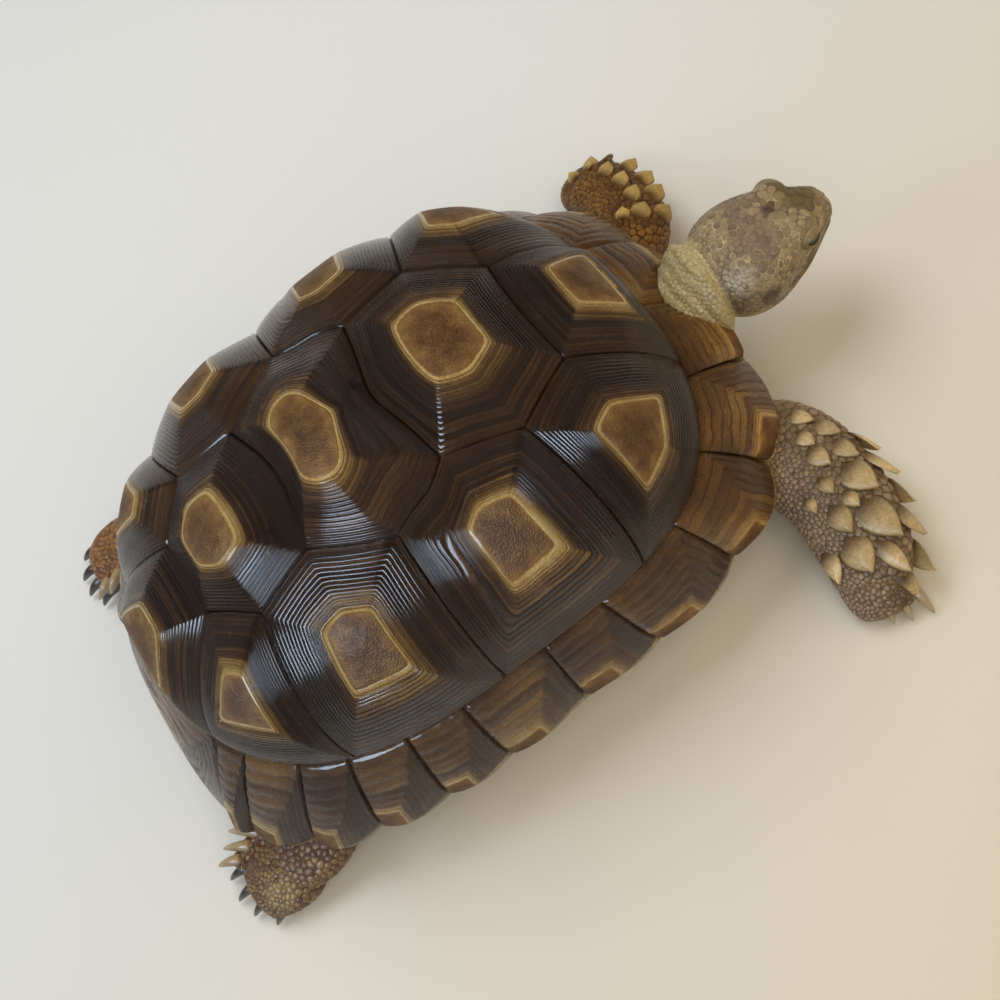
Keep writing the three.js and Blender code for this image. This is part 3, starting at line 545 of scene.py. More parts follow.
def polar_plate(
    sides, centre, share, surface, rise, seed,
    around=92, gap=0.0008, depth=PLATE_DEPTH, unit_mm=62, bow=0.0,
):
    """A plate whose rows are its growth rings. sides are functions along its outline, areole corners
    lie on the lines from centre to the outline's corners, and surface(map points, lift) gives points.
    bow is how far the areole's sides curve outwards, as a share."""
    centre = np.array(centre)
    corners = np.array([side(np.array([0.0]))[0] for side in sides])
    after = np.roll(corners, -1, axis=0)
    lengths = np.linalg.norm(after - corners, axis=1)
    counts = np.maximum(7, np.round(around * lengths / lengths.sum())).astype(int)
    outline, areole, lights, arounds = [], [], [], []
    lengthwise = 0.0
    for side, start, end, count, length in zip(sides, corners, after, counts, lengths):
        along = np.arange(count) / count
        outline.append(side(along))
        out = (start + end) / 2 - centre
        chord = lerp(start, end, along[:, None]) - centre
        curve = out * (bow * np.sin(np.pi * along))[:, None]
        areole.append(centre + share * (chord + curve))
        sideways = abs(out[0]) / np.hypot(*out)
        lights.append(np.full(count, smoothstep(sideways, 0.35, 0.95)))
        arounds.append(lengthwise + along * length * unit_mm)
        lengthwise += length * unit_mm
    outline, areole = np.vstack(outline), np.vstack(areole)
    for _ in range(AREOLE_ROUNDING):
        areole = (np.roll(areole, 1, 0) + 2 * areole + np.roll(areole, -1, 0)) / 4
    light_around, around_mm = np.concatenate(lights), np.concatenate(arounds)
    inward = centre - outline
    outline = outline + inward * (gap / np.linalg.norm(inward, axis=1))[:, None]
    columns = len(outline)
    points, rings = [], []

    def add_row(place, ring, lift):
        points.append(surface(place, np.full(columns, 0.0) + lift))
        rings.append(np.full(columns, float(ring)))

    # The areole: granular and a little domed.
    for s in AREOLE_ROWS:
        place = centre + s * (areole - centre)
        grain = 0.07 * wobble(place * unit_mm, 1.1, seed) * (1 - s**4)
        add_row(place, s - 1, rise + 0.35 * (1 - s**2) + grain)
    # The growth rings, with a lip beside the areole and a drop at the seam.
    ring_rows = (np.arange(RING_COUNT * ROWS_PER_RING) + 1) / (RING_COUNT * ROWS_PER_RING)
    ring_rows = CREAM_RING + (1 - CREAM_RING) * ring_rows ** (1 / RING_CROWDING)
    ring_rows = [CREAM_RING * 0.35, CREAM_RING * 0.75, CREAM_RING, *ring_rows]
    for t in ring_rows:
        waver = 0.014 * wobble((areole + outline) * unit_mm / 7 + t * 2, 1.0, seed + 3)
        waver = waver * math.sin(math.pi * t)
        place = areole + (outline - areole) * (t + waver)[:, None]
        edge_drop = 0.2 * smoothstep(t, 0.95, 1.0)
        lip = 0.12 * math.exp(-(((t - 0.05) / 0.03) ** 2))
        lift = rise * (1 - t) ** 0.9 + float(ring_relief(t, seed)) - edge_drop + lip
        add_row(place, t, lift)
    # The sides and the underside.
    add_row(outline, 1, -0.5)
    add_row(outline, 1, -depth)
    add_row(centre + 0.5 * (outline - centre), 1, -depth)
    rows = len(points)
    middle_top = surface(centre[None, :], np.array([rise + 0.38]))
    middle_under = surface(centre[None, :], np.array([-depth]))
    all_points = np.vstack([*points, middle_top, middle_under])
    faces = [
        grid_faces(rows, columns, True)[:, ::-1],
        fan_faces(0, columns, rows * columns, True),
        fan_faces((rows - 1) * columns, columns, rows * columns + 1, False),
    ]
    values = {
        "ring": np.concatenate([*rings, [-1.0, 1.0]]),
        "light": np.concatenate([np.tile(light_around, rows), [0.5, 0.0]]),
        "around": np.concatenate([np.tile(around_mm, rows), [0.0, 0.0]]),
        "seed": np.full(len(all_points), seed * 1.7),
        "amber": np.zeros(len(all_points)),
    }
    return all_points, faces, values


MIRROR = np.array([-1, 1, 1])


def mirrored_plate(points, faces, values):
    return points * MIRROR, [part[:, ::-1] for part in faces], values


def on_dome(place, lift):
    return lifted_dome(place[:, 0], place[:, 1], lift)


def flip(point):
    return (-point[0], point[1])


def plate_sides(corners):
    """Functions along a plate's outline. A corner is a place on the map or the degrees of one on the
    dome's edge, and between two of the latter the outline follows that edge."""
    sides = []
    for ends in zip(corners, corners[1:] + corners[:1]):
        if np.isscalar(ends[0]) and np.isscalar(ends[1]):
            sides.append(seam_arc(*ends))
        else:
            sides.append(straight(*(on_seam_loop(end) if np.isscalar(end) else end for end in ends)))
    return sides


def both_halves(*corners):
    return [*corners, *(flip(corner) for corner in reversed(corners))]


C1_CORNER = 47  # an extra corner of the first costal, on its lower side
# Corners, and where the areole's middle lies.
VERTEBRALS = [
    ([-S1, S1, V12, flip(V12)], (0, -0.69)),
    (both_halves(V12, C12, V23), (0, -0.27)),
    (both_halves(V23, C23, V34), (0, 0.103)),
    (both_halves(V34, C34, V45), (0, 0.425)),
    ([V45, S5, 360 - S5, flip(V45)], (0, 0.8)),
]
COSTALS = [
    ([V12, S1, C1_CORNER, S2, C12], (0.51, -0.455)),
    ([C12, S2, S3, C23, V23], (0.53, -0.045)),
    ([C23, S3, S4, C34, V34], (0.545, 0.178)),
    ([C34, S4, S5, V45], (0.423, 0.577)),
]


def orient(points, faces):
    """Faces turned so that the closed mesh's volume is positive."""
    total = 0.0
    for part in faces:
        for k in range(1, part.shape[1] - 1):
            a, b, c = points[part[:, 0]], points[part[:, k]], points[part[:, k + 1]]
            total += np.einsum("ij,ij->", a, np.cross(b, c))
    return faces if total > 0 else [part[:, ::-1] for part in faces]


def add_horn(name, plate, material, slot):
    """A plate of horn, named after the frame's node that it replaces."""
    points, faces, values = plate
    replaced = [name.replace("_horn", "")]
    add_piece(name, points, orient(points, faces), material, slot, replaced, values=values)


def add_dome_plates(material):
    for i, (corners, centre) in enumerate(VERTEBRALS):
        share, bow = AREOLE_SHARES["vertebral"][i], VERTEBRAL_BOWS[i]
        rise = PLATE_RISE["vertebral"]
        plate = polar_plate(plate_sides(corners), centre, share, on_dome, rise, i + 1.0, bow=bow)
        add_horn(f"vertebral_horn_{i + 1}", plate, material, "carapace")
    for i, (corners, centre) in enumerate(COSTALS):
        for side, first_seed in (("left", 11.0), ("right", 21.0)):
            share, rise = AREOLE_SHARES["costal"][i], PLATE_RISE["costal"]
            plate = polar_plate(plate_sides(corners), centre, share, on_dome, rise, first_seed + i)
            if side == "right":
                plate = mirrored_plate(*plate)
            add_horn(f"costal_horn_{side}_{i + 1}", plate, material, "carapace")


# ---- Marginal plates ----


def hump(degrees, centre, half_angle):
    """1 at the centre, falling smoothly to 0 at half_angle from it."""
    away = np.minimum(1, np.abs(degrees - centre) / half_angle)
    return 0.5 + 0.5 * np.cos(np.pi * away)


def rim_point(degrees, index):
    """The free edge, with each plate's bulge, the notch at the nape and the tuck over the tail."""
    seams = [*MARGINAL_SEAMS, 180]
    share = (degrees - seams[index]) / (seams[index + 1] - seams[index])
    shift = lerp(RIM_SEAM_SHIFT[index], RIM_SEAM_SHIFT[index + 1], share)
    point = loop_point(RIM_LOOP, np.radians(degrees + shift))
    flare = -TAIL_TUCK["depth"] * hump(degrees, 180, TAIL_TUCK["half_angle"])
    if index < len(MARGINAL_BULGE):
        flare = flare + MARGINAL_BULGE[index] * np.sin(np.pi * share)
        flare = flare - NUCHAL_NOTCH["depth"] * hump(degrees, 0, NUCHAL_NOTCH["half_angle"])
    return point + outward_at(point) * flare[:, None]


def outward_at(point):
    return unit(point * np.array([1, OUTWARD_Y, 0]))


def bridge_share(degrees):
    return smoothstep(degrees, *BRIDGE["start"]) - smoothstep(degrees, *BRIDGE["end"])


SUPRACAUDAL_SEED = 71.0
MARGINAL_COLUMNS = 54
OUTER_ROWS = 48
UNDER_ROWS = 14


def bezier(start, control, end, count):
    share = np.linspace(0, 1, count)[:, None, None]
    return (1 - share) ** 2 * start + 2 * share * (1 - share) * control + share**2 * end


def marginal_sections(degrees, index):
    """Outer and inner paths of the plate's section at each angle, both from its top to its inner edge.
    Each is an array of rows by angles by three."""
    place = on_seam_loop(degrees)
    normal = dome_normal(place[:, 0], place[:, 1])
    zero = np.zeros(len(degrees))
    top = lifted_dome(place[:, 0], place[:, 1], zero)
    inside = lifted_dome(place[:, 0], place[:, 1], zero - PLATE_DEPTH)
    rim = rim_point(degrees, index)
    down = unit(rim - top)
    top, inside = top + down * SEAM_GAP / 2, inside + down * SEAM_GAP / 2
    outward = outward_at(rim)
    bridge = bridge_share(degrees)[:, None]
    middle = (top + rim) / 2 + normal * MARGINAL["camber"]
    lip = rim - outward * MARGINAL["lip_in"]
    lip[:, 2] -= lerp(MARGINAL["lip"], MARGINAL["bridge_lip"], bridge[:, 0])
    turned = rim - outward * MARGINAL["turn"]
    lower_x = lerp(turned[:, 0], PLASTRON["bridge"] + SEAM_GAP, bridge[:, 0])
    lower_z = lerp(rim[:, 2] - 0.6, PLASTRON["under"], bridge[:, 0])
    lower = np.stack([lower_x, turned[:, 1], lower_z], -1)
    upper = lower + np.array([0, 0, 1]) * lerp(MARGINAL["thick"], PLASTRON["thick"], bridge)
    control = 2 * middle - (top + rim) / 2
    outer = bezier(top, control, rim, OUTER_ROWS)
    turn_end = lerp(lip, lower, 0.35)
    under_control = 2 * (lip + 0.15 * outward) - (rim + turn_end) / 2
    corner = bezier(rim, under_control, turn_end, 7)[1:]
    flat = np.array([lerp(turn_end, lower, s) for s in np.linspace(0, 1, UNDER_ROWS - 5)[1:]])
    outer = np.concatenate([outer, corner, flat])
    inner = bezier(inside, (inside + upper) / 2 + outward * 3.5, upper, len(outer))
    return outer, inner


def marginal_ring(u, v, index, seed):
    """The growth-ring coordinate and the light share on a plate. u runs from the front seam (0) to the
    rear one (1) and v from the top (0) to the free edge (1). The areole lies low at the rear."""
    wide, high = 0.58 + 0.05 * math.sin(seed), 0.74 + 0.04 * math.cos(seed * 2)
    lump = np.stack([u.ravel() * 4, v.ravel() * 4], -1)
    u = np.clip(u + 0.035 * wobble(lump, 1.0, seed).reshape(u.shape), 0, 1)
    v = np.clip(v + 0.03 * wobble(lump, 0.9, seed + 5).reshape(v.shape), 0, 1)
    if index >= len(MARGINAL_BULGE):
        ahead = (np.abs(u - 0.5) - 0.14) / 0.36
        inside = np.abs(u - 0.5) / 0.14
    else:
        ahead = (wide - u) / wide
        inside = (1 - u) / (1 - wide)
    above = (high - v) / high
    ring = np.maximum(ahead, above)
    core = -1 + np.clip(np.maximum(inside, (1 - v) / (1 - high)), 0, 1)
    ring = np.where(ring > 0, ring, np.minimum(core, -0.001))
    top_sector = smoothstep(above - ahead, -0.07, 0.07)
    return ring, top_sector


# How many rings there are, how far the areole stands out, how wide the grooves at the seams are, and
# how far the relief fades at the free edge and sinks at the top.
MARGINAL_RELIEF = dict(rings=MARGINAL_RINGS, bulk=0.75, groove=0.06, fade=0.8, top=0.4)
SUPRACAUDAL_RELIEF = dict(rings=RING_COUNT, bulk=0.5, groove=0.03, fade=1.0, top=0.0)


def ringed(outer, index, seed, form):
    """A plate's outer sheet with growth rings, and the numbers that go with its points."""
    rows, columns = outer.shape[:2]
    u = np.linspace(0, 1, columns)[None, :] * np.ones((rows, 1))
    v = np.ones((rows, columns))
    v[:OUTER_ROWS] = np.linspace(0, 1, OUTER_ROWS)[:, None]
    under = np.zeros((rows, columns))
    under[OUTER_ROWS:] = 1
    ring, top_sector = marginal_ring(u, v, index, seed)
    normal = unit(np.cross(np.gradient(outer, axis=1), np.gradient(outer, axis=0)))
    facing = np.sign((normal * outward_at(outer)).sum(-1).mean())
    relief = ring_relief(ring, seed, form["rings"]) * 0.9
    relief = relief + form["bulk"] * (1 - np.clip(ring, 0, 1)) ** 1.3
    groove = smoothstep(np.minimum(u, 1 - u), 0.0, form["groove"]) - 1
    top_edge = smoothstep(v, 0.0, 0.04) - 1
    fade = 1 - smoothstep(v, 0.96, 1.0) * form["fade"]
    lift = (relief * fade + 0.55 * groove + form["top"] * top_edge) * (1 - under)
    outer = outer + normal * facing * lift[..., None]
    return outer, {"ring": ring, "light": top_sector, "u": u, "v": v, "under": under}


def closed_strip(outer, inner):
    """A closed mesh between two sheets of rows by columns, joined along all four sides."""
    rows, columns = outer.shape[:2]
    loops = np.concatenate([outer, inner[::-1]])
    points = loops.transpose(1, 0, 2).reshape(-1, 3)
    around = 2 * rows
    sides = grid_faces(columns, around, True)
    j = np.arange(rows - 1)
    start_cap = np.stack([j, j + 1, around - 2 - j, around - 1 - j], -1)
    end_cap = start_cap[:, ::-1] + (columns - 1) * around
    return points, [sides, start_cap[:, ::-1], end_cap[:, ::-1]]


# The share of yellow in each plate, from the front to the rear.
AMBER = [1.0, 1.0, 1.0, 0.5, 0.35, 0.3, 0.35, 0.3, 0.25, 0.2, 0.2, 0.2]


def marginal_values(found, index, seed):
    """The attributes of a plate's points: its outer sheet's, and constants for its inner one."""

    def both(outer, inner):
        return np.concatenate([outer, np.full_like(outer, inner)]).T.ravel()

    shade = 0.05 + 0.4 * (1 - np.clip(found["ring"], 0, 1)) + 0.5 * AMBER[index]
    light = lerp(shade, 0.85, found["light"])
    around = lerp(found["u"] * 16, found["v"] * 16, 1 - found["light"])
    count = 2 * found["ring"].size
    return {
        "ring": both(found["ring"], 1.0),
        "light": both(light, 0.4),
        "around": both(around, 0.0),
        "under": both(np.maximum(found["under"], smoothstep(found["v"], 0.965, 0.99)), 1.0),
        "seed": np.full(count, seed * 1.7),
        "amber": np.full(count, AMBER[index]),
    }


def even_degrees(start, end, index, count):
    """Angles between two seams whose places on the rim are evenly spaced."""
    fine = np.linspace(start, end, 600)
    steps = np.linalg.norm(np.diff(rim_point(fine, index), axis=0), axis=1)
    length = np.concatenate([[0], np.cumsum(steps)])
    return np.interp(np.linspace(0, length[-1], count), length, fine)


def trimmed(sheet, ends=(True, True)):
    """A plate's sheet drawn in at its seams by half of the gap that shows."""
    sheet = sheet.copy()
    if ends[0]:
        sheet[:, 0] += unit(sheet[:, 1] - sheet[:, 0]) * PLATE_GAP / 2
    if ends[1]:
        sheet[:, -1] += unit(sheet[:, -2] - sheet[:, -1]) * PLATE_GAP / 2
    return sheet


def add_marginals(material):
    seams = MARGINAL_SEAMS
    last = len(seams) - 1
    for index in range(last):
        degrees = even_degrees(seams[index], seams[index + 1], index, MARGINAL_COLUMNS)
        for side, first_seed in (("left", 31.0), ("right", 51.0)):
            seed = first_seed + index
            outer, inner = marginal_sections(degrees, index)
            outer, found = ringed(outer, index, seed, MARGINAL_RELIEF)
            outer, inner = trimmed(outer), trimmed(inner)
            if side == "right":
                outer, inner = outer * MIRROR, inner * MIRROR
            plate = (*closed_strip(outer, inner), marginal_values(found, index, seed))
            add_horn(f"marginal_horn_{side}_{index + 1}", plate, material, "marginals")
    sheets = []
    for sheet in marginal_sections(even_degrees(seams[last], 180, last, MARGINAL_COLUMNS), last):
        half = trimmed(sheet, (True, False))
        sheets.append(np.concatenate([half, (half * MIRROR)[:, -2::-1]], axis=1))
    outer, found = ringed(sheets[0], last, SUPRACAUDAL_SEED, SUPRACAUDAL_RELIEF)
    plate = (*closed_strip(outer, sheets[1]), marginal_values(found, last, SUPRACAUDAL_SEED))
    add_horn("supracaudal_horn", plate, material, "marginals")


horn = horn_material("carapace_horn", HORN, 0.112, 0.11, 0.12)
rim_horn = horn_material("marginal_horn", HORN, 0.17, 0.27, 0.2, MARGINAL_RINGS, 0.4)
add_dome_plates(horn)
add_marginals(rim_horn)


# ---- Plastron ----

# The left half of each plate's outline, from the midline round to the midline: across and along.
PLASTRON_EDGES = {
    "gular": [(0, -56.5), (4, -58), (8.5, -58.6), (11, -56), (13.5, -49)],
    "humeral": [(13.5, -49), (21, -46), (28, -41), (31.5, -34)],
    "pectoral": [(31.5, -34), (35, -31.5), (38, -26), (38, -23)],
    "abdominal": [(38, -23), (38, 20)],
    "femoral": [(38, 20), (37, 25), (32, 30), (27, 38)],
    "anal": [(27, 38), (24, 45), (18, 50.5), (13, 51.5), (7, 49), (0, 45)],
}
MIDLINE_GAP = 0.12


def under_plastron(place, lift):
    """Map places in millimetres to the plastron's lower face, with lift measured downwards."""
    flat = np.minimum(lift, 0.0)
    return np.stack([place[:, 0] + MIDLINE_GAP / 2, place[:, 1], PLASTRON["under"] - flat], -1)


def add_plastron(material):
    """Pairs of flat plates, each pair as one piece."""
    for i, (name, edge) in enumerate(PLASTRON_EDGES.items()):
        corners = [(0, edge[0][1]), *edge, (0, edge[-1][1])]
        corners = [p for k, p in enumerate(corners) if k == 0 or p != corners[k - 1]]
        if corners[0] == corners[-1]:
            corners.pop()
        sides = [straight(p, q) for p, q in zip(corners, corners[1:] + corners[:1])]
        outline = np.array(corners, float)
        centre = (0.55 * outline[:, 0].max(), lerp(outline[:, 1].min(), outline[:, 1].max(), 0.55))
        depth = PLASTRON["thick"]
        settings = dict(around=110, gap=PLATE_GAP / 2, depth=depth, unit_mm=1)
        left = polar_plate(sides, centre, 0.22, under_plastron, -0.12, i + 81.0, **settings)
        right = mirrored_plate(*left)
        values = {key: np.concatenate([left[2][key], right[2][key]]) for key in left[2]}
        values["light"] = 0.45 + 0.14 * values["light"]
        plate = (*merged([left[:2], right[:2]]), values)
        add_horn(f"plastron_horn_{name}", plate, material, "plastron")


add_plastron(horn_material("plastron_horn", STRAW, 0.3, 0.3, 0.34))


# ---- Flesh: the same stations as the frame's ----

COAT_DEPTH = {"head": 0.3, "limb": 0.4}
# Stations are x, y, z, half width and half height.
LIMBS = {
    "foreleg_right": {
        "leg": [(-22, -44, 14.5, 8, 5), (-33, -58.2, 12.2, 10.8, 6.4), (-45, -61.2, 10.2, 10.2, 6.6),
                (-56, -59.4, 8.2, 9.4, 6), (-63, -56.4, 6.4, 7.6, 5)],
        "sole": [(-58, -58.4, 4.8, 5.4, 3.6), (-61.4, -57.2, 4.6, 7.2, 5.2), (-65.6, -56, 3.8, 7, 4.4),
                 (-68.6, -55.2, 2.8, 5.4, 3)],
        "claws": dict(corners=((-64.4, -50.6), (-68.6, -61.2)), bow=2.6, count=5, heading=162, fan=44,
                      lengths=(0.8, 5.2), radius=1.55, height=2.8),
    },
    "foreleg_left": {
        "leg": [(16, -44, 14.5, 7, 4.6), (20.6, -57, 12.8, 8, 5.2), (26.6, -67, 11, 8.4, 6),
                (36, -69.4, 9.4, 7.8, 6), (45, -68.6, 7.2, 7.2, 5.2)],
        "sole": [(39.6, -68.8, 4.8, 4.8, 3.4), (43, -68.4, 4.8, 7, 5.4), (48, -67.8, 4, 7, 4.6),
                 (51.4, -67.4, 2.8, 5.4, 3)],
        "claws": dict(corners=((49.6, -62.6), (49.6, -72.6)), bow=2, count=5, heading=4, fan=-40,
                      lengths=(1.4, 2.2), radius=1.3, height=2.8),
    },
    "hindleg_right": {
        "leg": [(-21, 42, 14.4, 8, 5), (-30, 52, 11, 10, 6.6), (-35, 60, 8.2, 9.8, 6),
                (-36, 67, 6.4, 8, 5.2)],
        "sole": [(-36, 61.6, 4.4, 5.4, 3.4), (-36.2, 66, 4.6, 8.6, 5.6), (-36.4, 72, 4, 8.6, 5.2),
                 (-36.4, 76.8, 3, 6.8, 3.8)],
        "claws": dict(corners=((-42.4, 73.6), (-30.4, 77)), bow=2.2, count=4, heading=93, fan=-20,
                      lengths=(4.6, 5.2), radius=1.4, height=2.8),
    },
    "hindleg_left": {
        "leg": [(22, 40, 14.4, 8, 5), (34, 49, 11, 9.4, 6.6), (43.6, 57, 8.2, 8.8, 6),
                (47, 64.4, 6.4, 7.8, 5.2)],
        "sole": [(46, 58.6, 4.4, 5, 3.4), (47.2, 62.8, 4.6, 8, 5.6), (48.2, 68.6, 4, 8, 5.2),
                 (48.8, 73, 3, 6.4, 3.8)],
        "claws": dict(corners=((53.9, 71.8), (42.4, 73.4)), bow=2.2, count=4, heading=88, fan=20,
                      lengths=(5, 4.4), radius=1.4, height=2.8),
    },
}
# The thigh spurs: root and tip of the first, and the steps from one to the next.
SPUR_ROWS = {
    "hindleg_right": (((-29.8, 75.4, 6.4), (-27.6, 81, 6)), ((0.5, -3.5, 1.1), (2, -3, 1))),
    "hindleg_left": (((42.2, 70.8, 6.6), (40.4, 76, 6.2)), ((-0.4, -3.4, 1), (-1.4, -3.2, 1))),
}
SPUR_COUNT = 3
SPUR_RADIUS = 1.9
SPURS = {
    name: [np.array(first) + np.array(step) * i for i in range(SPUR_COUNT)]
    for name, (first, step) in SPUR_ROWS.items()
}
TAIL = [(0, 56, 14.4, 7, 3), (0.6, 63, 12.6, 5, 3.2), (1.6, 68, 10.4, 3.4, 2.6), (3.4, 71.6, 8.6, 2, 1.8),
        (5.2, 73.4, 7.6, 0.8, 0.8)]
NECK = [(0, -44, 15, 11, 4.4), (-0.2, -54, 15.8, 10.6, 5), (-0.4, -61, 18.6, 10, 6.8),
        (-0.6, -66, 23, 9.8, 7.8), (-0.6, -72, 25.4, 8.8, 7)]
# The head in its own frame: distance ahead of the neck's end, half width, height over and under.
HEAD = [(-2.4, 7, 5.8, 5.8), (0, 9.6, 7.6, 8.2), (3, 11.2, 8.8, 9.2), (7.5, 11.7, 9.4, 8.8),
        (12, 10.7, 9.5, 7.4), (16, 8.9, 9, 6), (19.5, 6.9, 7.8, 5), (22.5, 5.1, 6.4, 4),
        (24.6, 3.8, 5.2, 3), (25.8, 2.4, 3.8, 1.4)]
HEAD_PLACE = {"at": (-1.4, -70, 25), "yaw": -3, "pitch": 3}
HEAD_ROUND = {"wide": 0.85, "tall": 0.8}
BROW = {"radius": 3.3, "stretch": 1.4, "place": (4.8, 16, 5.5)}

head_yaw, head_pitch = math.radians(HEAD_PLACE["yaw"]), math.radians(HEAD_PLACE["pitch"])
HEAD_TURN = np.array(Matrix.Rotation(head_yaw, 3, "Z") @ Matrix.Rotation(head_pitch, 3, "X"))


def from_head(points):
    """Head coordinates (left, ahead, up) to the animal's."""
    points = np.asarray(points, float) * np.array([1, -1, 1])
    return points @ HEAD_TURN.T + np.array(HEAD_PLACE["at"])


def to_head(points):
    return ((points - np.array(HEAD_PLACE["at"])) @ HEAD_TURN) * np.array([1, -1, 1])


def capped(rings):
    """A closed mesh from rings of points, with a fan at each end."""
    rows, columns = len(rings), len(rings[0])
    points = np.vstack([*rings, rings[0].mean(0, keepdims=True), rings[-1].mean(0, keepdims=True)])
    faces = [
        grid_faces(rows, columns, True),
        fan_faces(0, columns, rows * columns, False),
        fan_faces((rows - 1) * columns, columns, rows * columns + 1, True),
    ]
    return points, orient(points, faces)


LEAST_HALF = 0.3  # no limb is thinner than twice this
LIMB_COLUMNS = 32
HEAD_COLUMNS = 48
AXIS_STEPS = 8


def limb_frames(stations, shrink, steps=6):
    """Points along a limb with the directions along it, beside it and up, and its half sizes."""
    rows = curve_through(stations, steps)
    centre, wide, tall = rows[:, :3], rows[:, 3] - shrink, rows[:, 4] - shrink
    along = unit(np.gradient(centre, axis=0))
    side = unit(np.cross(np.array([0, 0, 1.0]), along))
    sizes = (np.maximum(wide, LEAST_HALF), np.maximum(tall, LEAST_HALF))
    return centre, along, side, np.cross(along, side), *sizes


def limb_tube(stations, shrink):
    """A limb's surface round its stations, with a rounded end."""
    centre, along, side, up, wide, tall = limb_frames(stations, shrink)
    turn = turns(LIMB_COLUMNS)
    cosine, sine = np.cos(turn)[:, None], np.sin(turn)[:, None]
    rings = []
    for i in range(len(centre)):
        rings.append(centre[i] + side[i] * wide[i] * cosine + up[i] * tall[i] * sine)
    radius = min(wide[-1], tall[-1]) * 0.6
    for angle in (35, 65):
        out = centre[-1] + along[-1] * radius * (math.sin(math.radians(angle)) - 0.3)
        size = math.cos(math.radians(angle))
        rings.append(out + side[-1] * wide[-1] * size * cosine + up[-1] * tall[-1] * size * sine)
    return capped(rings)


def head_tube(shrink):
    rows = curve_through(HEAD, 5)
    turn = turns(HEAD_COLUMNS)
    cosine, sine = np.cos(turn), np.sin(turn)
    rings = []
    for ahead, wide, over, under in rows:
        tall = np.where(sine > 0, over, under) - shrink
        x = (wide - shrink) * signed_power(cosine, HEAD_ROUND["wide"])
        z = tall * signed_power(sine, HEAD_ROUND["tall"])
        rings.append(from_head(np.stack([x, np.full(len(x), ahead), z], -1)))
    return capped(rings)


def ball(centre, radii, rows=16, columns=24):
    polar = np.linspace(0, np.pi, rows + 2)[1:-1]
    turn = turns(columns)
    rings = []
    for angle in polar:
        x, y = np.cos(turn) * np.sin(angle), np.sin(turn) * np.sin(angle)
        rings.append(np.stack([x, y, np.full(columns, np.cos(angle))], -1) * radii)
    points, faces = capped(rings)
    points[-2] = (0, 0, radii[2])
    points[-1] = (0, 0, -radii[2])
    return points + np.array(centre), orient(points, faces)


def read_numbers(rows, key, kind=np.int32, each=1):
    numbers = np.empty(len(rows) * each, kind)
    rows.foreach_get(key, numbers)
    return numbers


def read_mesh(mesh):
    """A mesh's points, and its faces by their number of corners."""
    points = read_numbers(mesh.vertices, "co", np.float32, 3)
    points = points.reshape(-1, 3).astype(float) / MM - PLACE
    sizes = read_numbers(mesh.polygons, "loop_total")
    starts = read_numbers(mesh.polygons, "loop_start")
    loops = read_numbers(mesh.loops, "vertex_index")
    return points, [
        loops[starts[sizes == size][:, None] + np.arange(size)] for size in np.unique(sizes)
    ]


def modified(points, faces, set_up):
    """A mesh after the modifiers that set_up gives to its object."""
    mesh = make_mesh("soft", points, faces)
    soft = link("soft", mesh)
    set_up(soft)
    evaluated = soft.evaluated_get(bpy.context.evaluated_depsgraph_get())
    found = read_mesh(evaluated.to_mesh())
    evaluated.to_mesh_clear()
    bpy.data.objects.remove(soft)
    bpy.data.meshes.remove(mesh)
    return found


def weld(soft):
    """One watertight surface round all the parts."""
    remesh = soft.modifiers.new("weld", "REMESH")
    remesh.mode = "VOXEL"
    remesh.voxel_size = SKIN_VOXEL * MM
    smooth = soft.modifiers.new("smooth", "SMOOTH")
    smooth.factor = 0.5
    smooth.iterations = 4


def thin(soft):
    """Fewer faces where the skin is hidden."""
    group = soft.vertex_groups.new(name="hidden")
    group.add(np.flatnonzero(hidden).tolist(), 1.0, "REPLACE")
    decimate = soft.modifiers.new("thin", "DECIMATE")
    decimate.ratio = HIDDEN_DETAIL
    decimate.vertex_group = "hidden"


SKIN_VOXEL = 0.42
HIDDEN_DETAIL = 0.45
TRUNK_INSET = 0.25


def trunk_part():
    """The frame's own trunk, drawn in a little."""
    points, faces = read_mesh(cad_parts["trunk"].data)
    middle = np.array([0, 0, 28.0])
    reach = np.linalg.norm(points - middle, axis=1, keepdims=True)
    return middle + (points - middle) * (1 - TRUNK_INSET / reach), faces


def flesh_parts():
    """The solids of the flesh, drawn in by the coat's depth, with the brows and the spurs' mounds."""
    depth = COAT_DEPTH["limb"]
    parts = [trunk_part(), limb_tube(NECK, depth), limb_tube(TAIL, depth)]
    parts.append(head_tube(COAT_DEPTH["head"]))
    for limb in LIMBS.values():
        parts += [limb_tube(limb["leg"], depth), limb_tube(limb["sole"], depth)]
    for side in (-1, 1):
        size = BROW["radius"] - COAT_DEPTH["head"]
        spot = from_head([sided(BROW["place"], side)])[0]
        parts.append(ball(spot, (size, size * BROW["stretch"], size)))
    for pairs in SPURS.values():
        for root, tip in pairs:
            parts.append(ball(root + unit(tip - root) * 0.6, [SPUR_RADIUS] * 3))
    return parts


skin_points, skin_faces = modified(*merged(flesh_parts()), weld)


# ---- Regions and colours of the flesh ----

FLESH_NODES = ["trunk", "head", "lower_jaw", "neck", "tail"]
AXES = {"neck": NECK, "tail": TAIL}
for limb_name, limb in LIMBS.items():
    FLESH_NODES += [limb_name, limb_name.replace("leg", "foot")]
    AXES[limb_name] = limb["leg"][:-1] + limb["sole"][1:]


BLOCK = 20000  # points worked on at once, to save memory
FAR = 9.0
TRUNK_OUT = 1.32  # points farther out than this from every axis belong to the trunk


